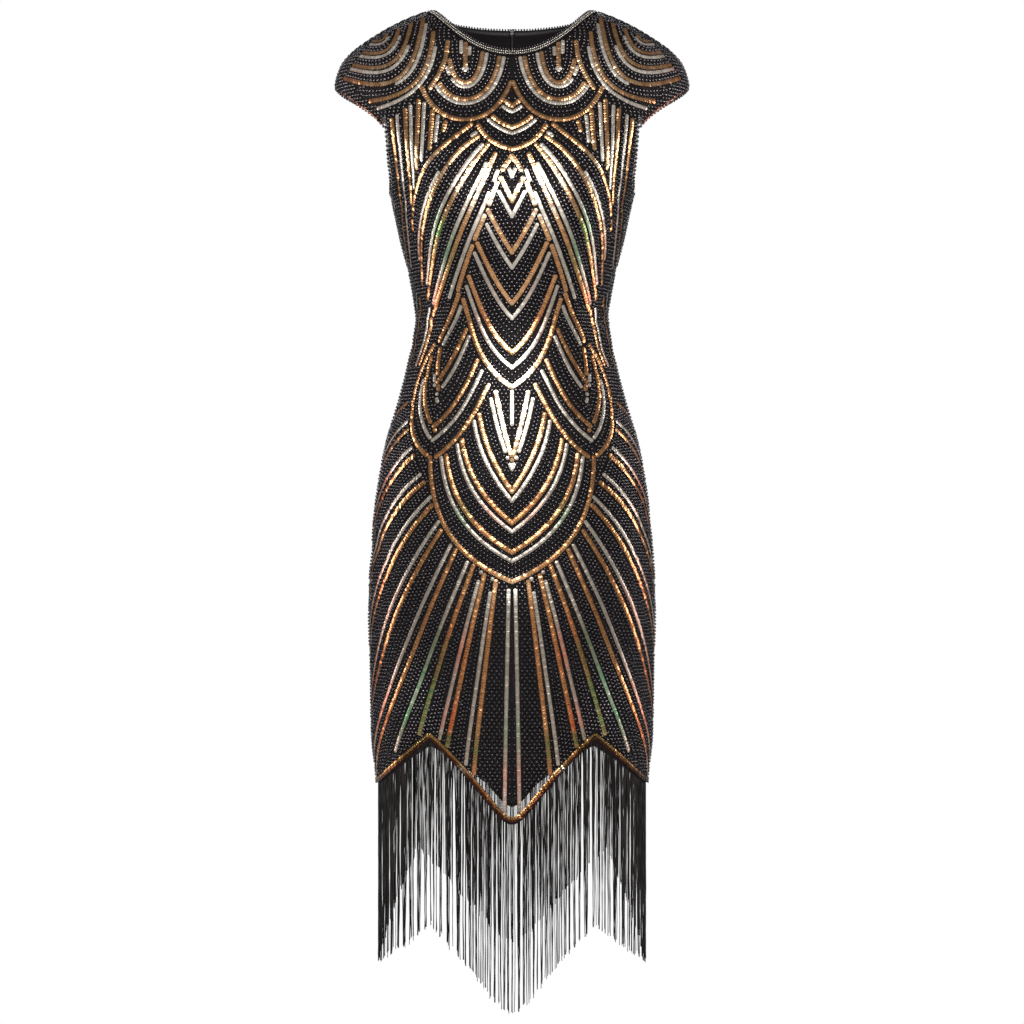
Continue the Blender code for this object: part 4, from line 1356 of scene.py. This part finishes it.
def add_strands(name, front, chance):
    """Strands that hang from the braid.

    A strand's place is its root moved towards its lock's middle, more as it falls, plus two slow
    waves. Each ring is three points about that place, and turns with the cord's twist."""
    turns, heights = hem_row(0, front)
    turn, height, _ = along_row(turns, heights, 0.4 * MM)
    spots = np.linspace(0, len(turn) - 1, FRINGE_STRANDS + 2)[1:-1]
    spots = spots + chance.uniform(-1.3, 1.3, FRINGE_STRANDS)
    numbers = np.arange(len(turn))

    def root_at(spot):
        spot_turn, spot_height = (np.interp(spot, numbers, values) for values in (turn, height))
        return surface(spot_turn, spot_height, BRAID_MIDDLE)

    roots = root_at(spots) - np.array([0, 0, BRAID_DROP - ROOT_INSIDE])
    locks = locks_along(FRINGE_STRANDS, chance)
    middles = root_at(np.interp(locks, np.arange(FRINGE_STRANDS), spots))
    to_side = np.abs(np.sin(np.interp(spots, numbers, turn)))
    lengths = np.interp(to_side, *np.array(FRINGE_LENGTHS).T)
    lengths = lengths + chance.normal(0, 2.2 * MM, FRINGE_STRANDS) - BRAID_DROP
    fall = np.linspace(0, 1, STRAND_STEPS)
    gather = chance.uniform(0.35, 0.95, FRINGE_STRANDS)[:, None] * fall ** 0.5
    centre = np.repeat(roots[:, None], STRAND_STEPS, axis=1)
    centre[..., :2] += gather[..., None] * (middles - roots)[:, None, :2]
    for axis in (0, 1):
        phase, speed = chance.uniform(0, 6.3, FRINGE_STRANDS), chance.uniform(3, 9, FRINGE_STRANDS)
        size = chance.uniform(0.1, 0.8, FRINGE_STRANDS) * MM
        centre[..., axis] += size[:, None] * fall * np.sin(phase[:, None] + speed[:, None] * fall)
    centre[..., 2] -= lengths[:, None] * fall
    angle = (np.arange(3) * 2 * math.pi / 3 + fall[:, None] * STRAND_TWIST)[None]
    angle = angle + chance.uniform(0, 6, FRINGE_STRANDS)[:, None, None]
    radius = STRAND_RADIUS * (1 - 0.25 * fall[:, None])
    ring = np.stack([radius * np.cos(angle), radius * np.sin(angle), np.zeros_like(angle)], axis=-1)
    points = centre[:, :, None] + ring
    index = np.arange(STRAND_STEPS * 3).reshape(STRAND_STEPS, 3)
    after = np.roll(index, -1, axis=1)
    one = np.concatenate([np.stack([index[:-1], index[1:], after[1:]], -1).reshape(-1, 3),
                          np.stack([index[:-1], after[1:], after[:-1]], -1).reshape(-1, 3),
                          [index[-1][::-1]], [index[0]]])
    faces = (one[None] + np.arange(FRINGE_STRANDS)[:, None, None] * STRAND_STEPS * 3).reshape(-1, 3)
    strands = add_piece(name, points.reshape(-1, 3), faces, RAYON, slot="rayon_fringe",
                        replaces=[f"fringe_{'front' if front else 'back'}"], smooth=False)
    painted_light_and_tone = chance.uniform(0, 1, FRINGE_STRANDS) ** 2
    set_attribute(strands, "painted_light_and_tone", np.repeat(painted_light_and_tone, STRAND_STEPS * 3))


for front, word in ((True, "front"), (False, "back")):
    turns, foot = hem_row(0, front)
    rows = [(turns, foot - BRAID_DROP), (turns, foot - BRAID_DROP / 2), hem_row(0.9, front)]
    add_sheet(f"braid_{word}", *as_grid(rows), BRAID_LAYER, TAPE,
              slot="rayon_fringe")
    add_strands(f"strands_{word}", front, np.random.default_rng(FIXED_SEED + front))

# %% [markdown]
# ## Zip
#
# A coil zip is a plastic spiral stitched to two tapes. Each turn of the spiral shows as a tooth,
# and the teeth of the two sides take turns. The slider and its tab are pressed metal: copies of
# the imported ones with their edges rounded, so that light catches them. The tab rides its own
# body.

# %% Zip
TOOTH_PITCH = 1.4 * MM
TOOTH_OFF_CENTRE = 0.45 * MM
TOOTH_DEPTH, TOOTH_WIDTH, TOOTH_HEIGHT = -1.15 * MM, 1.9 * MM, 1.2 * MM
METAL_EDGE = 0.22 * MM              # width of the rounding on slider and tab
ZIP_TOP = 0.0125
TEETH_TOP = 0.0150
TAPE_COLUMNS = (1.8, 4.0, 6.5, 9.3, 12.0)
BOX = np.array([(x, y, z) for x in (-0.5, 0.5) for y in (-0.5, 0.5) for z in (-0.5, 0.5)])
BOX_FACES = ((0, 1, 3, 2), (4, 6, 7, 5), (0, 4, 5, 1), (2, 3, 7, 6), (0, 2, 6, 4), (1, 5, 7, 3))


def add_teeth():
    """Small bars, left and right in turn, across the middle of the zip."""
    height = np.arange(ZIP_FOOT, TEETH_TOP, TOOTH_PITCH / 2)
    side = np.where(np.arange(len(height)) % 2, 1.0, -1.0)
    turn = HALF_TURN - side * turn_at(TOOTH_OFF_CENTRE, height)
    out = outward(turn, height)
    along = unit(slopes_at(turn, height)[1])
    across = np.cross(along, out)
    sizes = across * TOOTH_WIDTH, along * 0.62 * TOOTH_PITCH, out * TOOTH_HEIGHT
    points, faces = repeat_shape(BOX, BOX_FACES, surface(turn, height, TOOTH_DEPTH), *sizes)
    teeth = add_piece("zip_teeth", points, faces, NYLON, slot="zip_coil", replaces=["zip_coil"],
                      smooth=False)
    set_attribute(teeth, "painted_light_and_tone", np.repeat(side > 0, 8))


def rounded_copy(node, name, body):
    """A copy of a packed metal part with its corners joined and its edges bevelled."""
    source = bpy.data.objects[node]
    work = bmesh.new()
    work.from_mesh(source.data)
    bmesh.ops.remove_doubles(work, verts=work.verts, dist=0.01 * MM)
    bmesh.ops.transform(work, matrix=source.matrix_world, verts=work.verts)
    mesh = bpy.data.meshes.new(name)
    work.to_mesh(mesh)
    work.free()
    mesh.materials.clear()
    mesh.materials.append(METAL)
    piece = put_in_scene(name, mesh)
    bevel = piece.modifiers.new("edges", "BEVEL")
    bevel.width, bevel.segments, bevel.limit_method = METAL_EDGE, 2, "ANGLE"
    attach(piece, body)
    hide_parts(node)
    print(name, len(mesh.polygons), "faces before the bevel")


add_teeth()
heights = np.linspace(ZIP_FOOT, ZIP_TOP, 60)[:, None]
for side, word in ((-1, "left"), (1, "right")):
    tape_turns = side * (HALF_TURN - turn_at(np.array(TAPE_COLUMNS[::side]) * MM, heights))
    woven, face = add_sheet(f"tape_{word}", tape_turns[:, ::-1], heights + 0 * tape_turns,
                            TAPE_LAYER, TAPE, slot="zip_tape", replaces=[f"zip_tape_{word}"])
    declare_cloth(woven, face)
rounded_copy("zip_slider", "slider", "dress")
rounded_copy("zip_pull", "pull_tab", "zip_pull")

# %% [markdown]
# ## Floor, light and camera
#
# The sequins are mirrors, so the lights are what gives them life. A large soft panel before the
# dress lights the chest, two tall ones draw bright lines down the sides, and the rest of the room
# is dim. A pale floor lies just under the fringe.

# %% Stage
EYE = Vector((0.0, -2.8, -0.5527))
FLOOR_HEIGHT = -1.1350
FLOOR_RADIUS, FLOOR_SIDES = 40.0, 96
# Columns: name, place, point that it faces, width and height, power in watts.
LIGHTS = (
    ("front_panel", (0, -3.1, 0.45), (0, 0, -0.25), (2.4, 0.6), 150),
    ("left_panel", (-2.3, 0.10, -0.50), (0, 0, -0.50), (0.5, 0.9), 34),
    ("right_panel", (2.3, 0.10, -0.50), (0, 0, -0.50), (0.5, 0.9), 34),
    ("back_panel", (0, 3.0, 0.5), (0, 0, -0.5), (1.6, 1.8), 60),
)


def white_to_camera(tree, plain, bright, surface_out):
    """Shows the bright shader to the camera itself, and the plain one to all other light."""
    path, mix = tree.nodes.new("ShaderNodeLightPath"), tree.nodes.new("ShaderNodeMixShader")
    tree.links.new(path.outputs["Is Camera Ray"], mix.inputs[0])
    tree.links.new(plain.outputs[0], mix.inputs[1])
    tree.links.new(bright.outputs[0], mix.inputs[2])
    tree.links.new(mix.outputs[0], surface_out)


def add_room():
    """Dim grey room light, and plain white where the camera sees past the dress."""
    world = bpy.data.worlds.new("room")
    bpy.context.scene.world = world
    world.use_nodes = True
    tree = world.node_tree
    tree.nodes.clear()
    out = tree.nodes.new("ShaderNodeOutputWorld")
    seen, room = tree.nodes.new("ShaderNodeBackground"), tree.nodes.new("ShaderNodeBackground")
    seen.inputs["Color"].default_value = (1, 1, 1, 1)
    room.inputs["Color"].default_value = (0.19, 0.19, 0.20, 1)
    white_to_camera(tree, room, seen, out.inputs["Surface"])


def add_floor():
    """A round pale floor far larger than the view."""
    ring = np.linspace(0, 2 * math.pi, FLOOR_SIDES + 1)[:-1]
    points = np.stack([FLOOR_RADIUS * np.cos(ring), FLOOR_RADIUS * np.sin(ring),
                       np.full(FLOOR_SIDES, FLOOR_HEIGHT)], -1)
    mesh = bpy.data.meshes.new("floor")
    mesh.from_pydata(points.tolist(), [], [list(range(FLOOR_SIDES))])
    paint = bpy.data.materials.new("floor_paint")
    paint.use_nodes = True
    tree = paint.node_tree
    glow = tree.nodes.new("ShaderNodeEmission")
    glow.inputs["Color"].default_value = (1, 1, 1, 1)
    tree.nodes["Principled BSDF"].inputs["Base Color"].default_value = (0.6, 0.6, 0.6, 1)
    tree.nodes["Principled BSDF"].inputs["Roughness"].default_value = 0.9
    surface_out = tree.nodes["Material Output"].inputs["Surface"]
    white_to_camera(tree, tree.nodes["Principled BSDF"], glow, surface_out)
    mesh.materials.append(paint)
    put_in_scene("floor", mesh)


def add_panel_light(name, place, target, size, power):
    """A soft rectangular light turned towards a point."""
    light = bpy.data.lights.new(name, "AREA")
    light.shape = "RECTANGLE"
    light.size, light.size_y = size
    light.energy = power
    lamp = bpy.data.objects.new(name, light)
    lamp.location = place
    lamp.rotation_euler = (Vector(target) - Vector(place)).to_track_quat("-Z", "Y").to_euler()
    bpy.context.scene.collection.objects.link(lamp)


def add_camera():
    camera = bpy.data.objects.new("camera", bpy.data.cameras.new("camera"))
    camera.location = EYE
    camera.rotation_euler = (QUARTER, 0, 0)
    camera.data.lens = 85.6
    bpy.context.scene.collection.objects.link(camera)
    bpy.context.scene.camera = camera


add_floor()
add_room()
add_camera()
for row in LIGHTS:
    add_panel_light(*row)
bpy.context.scene.view_settings.view_transform = "Standard"
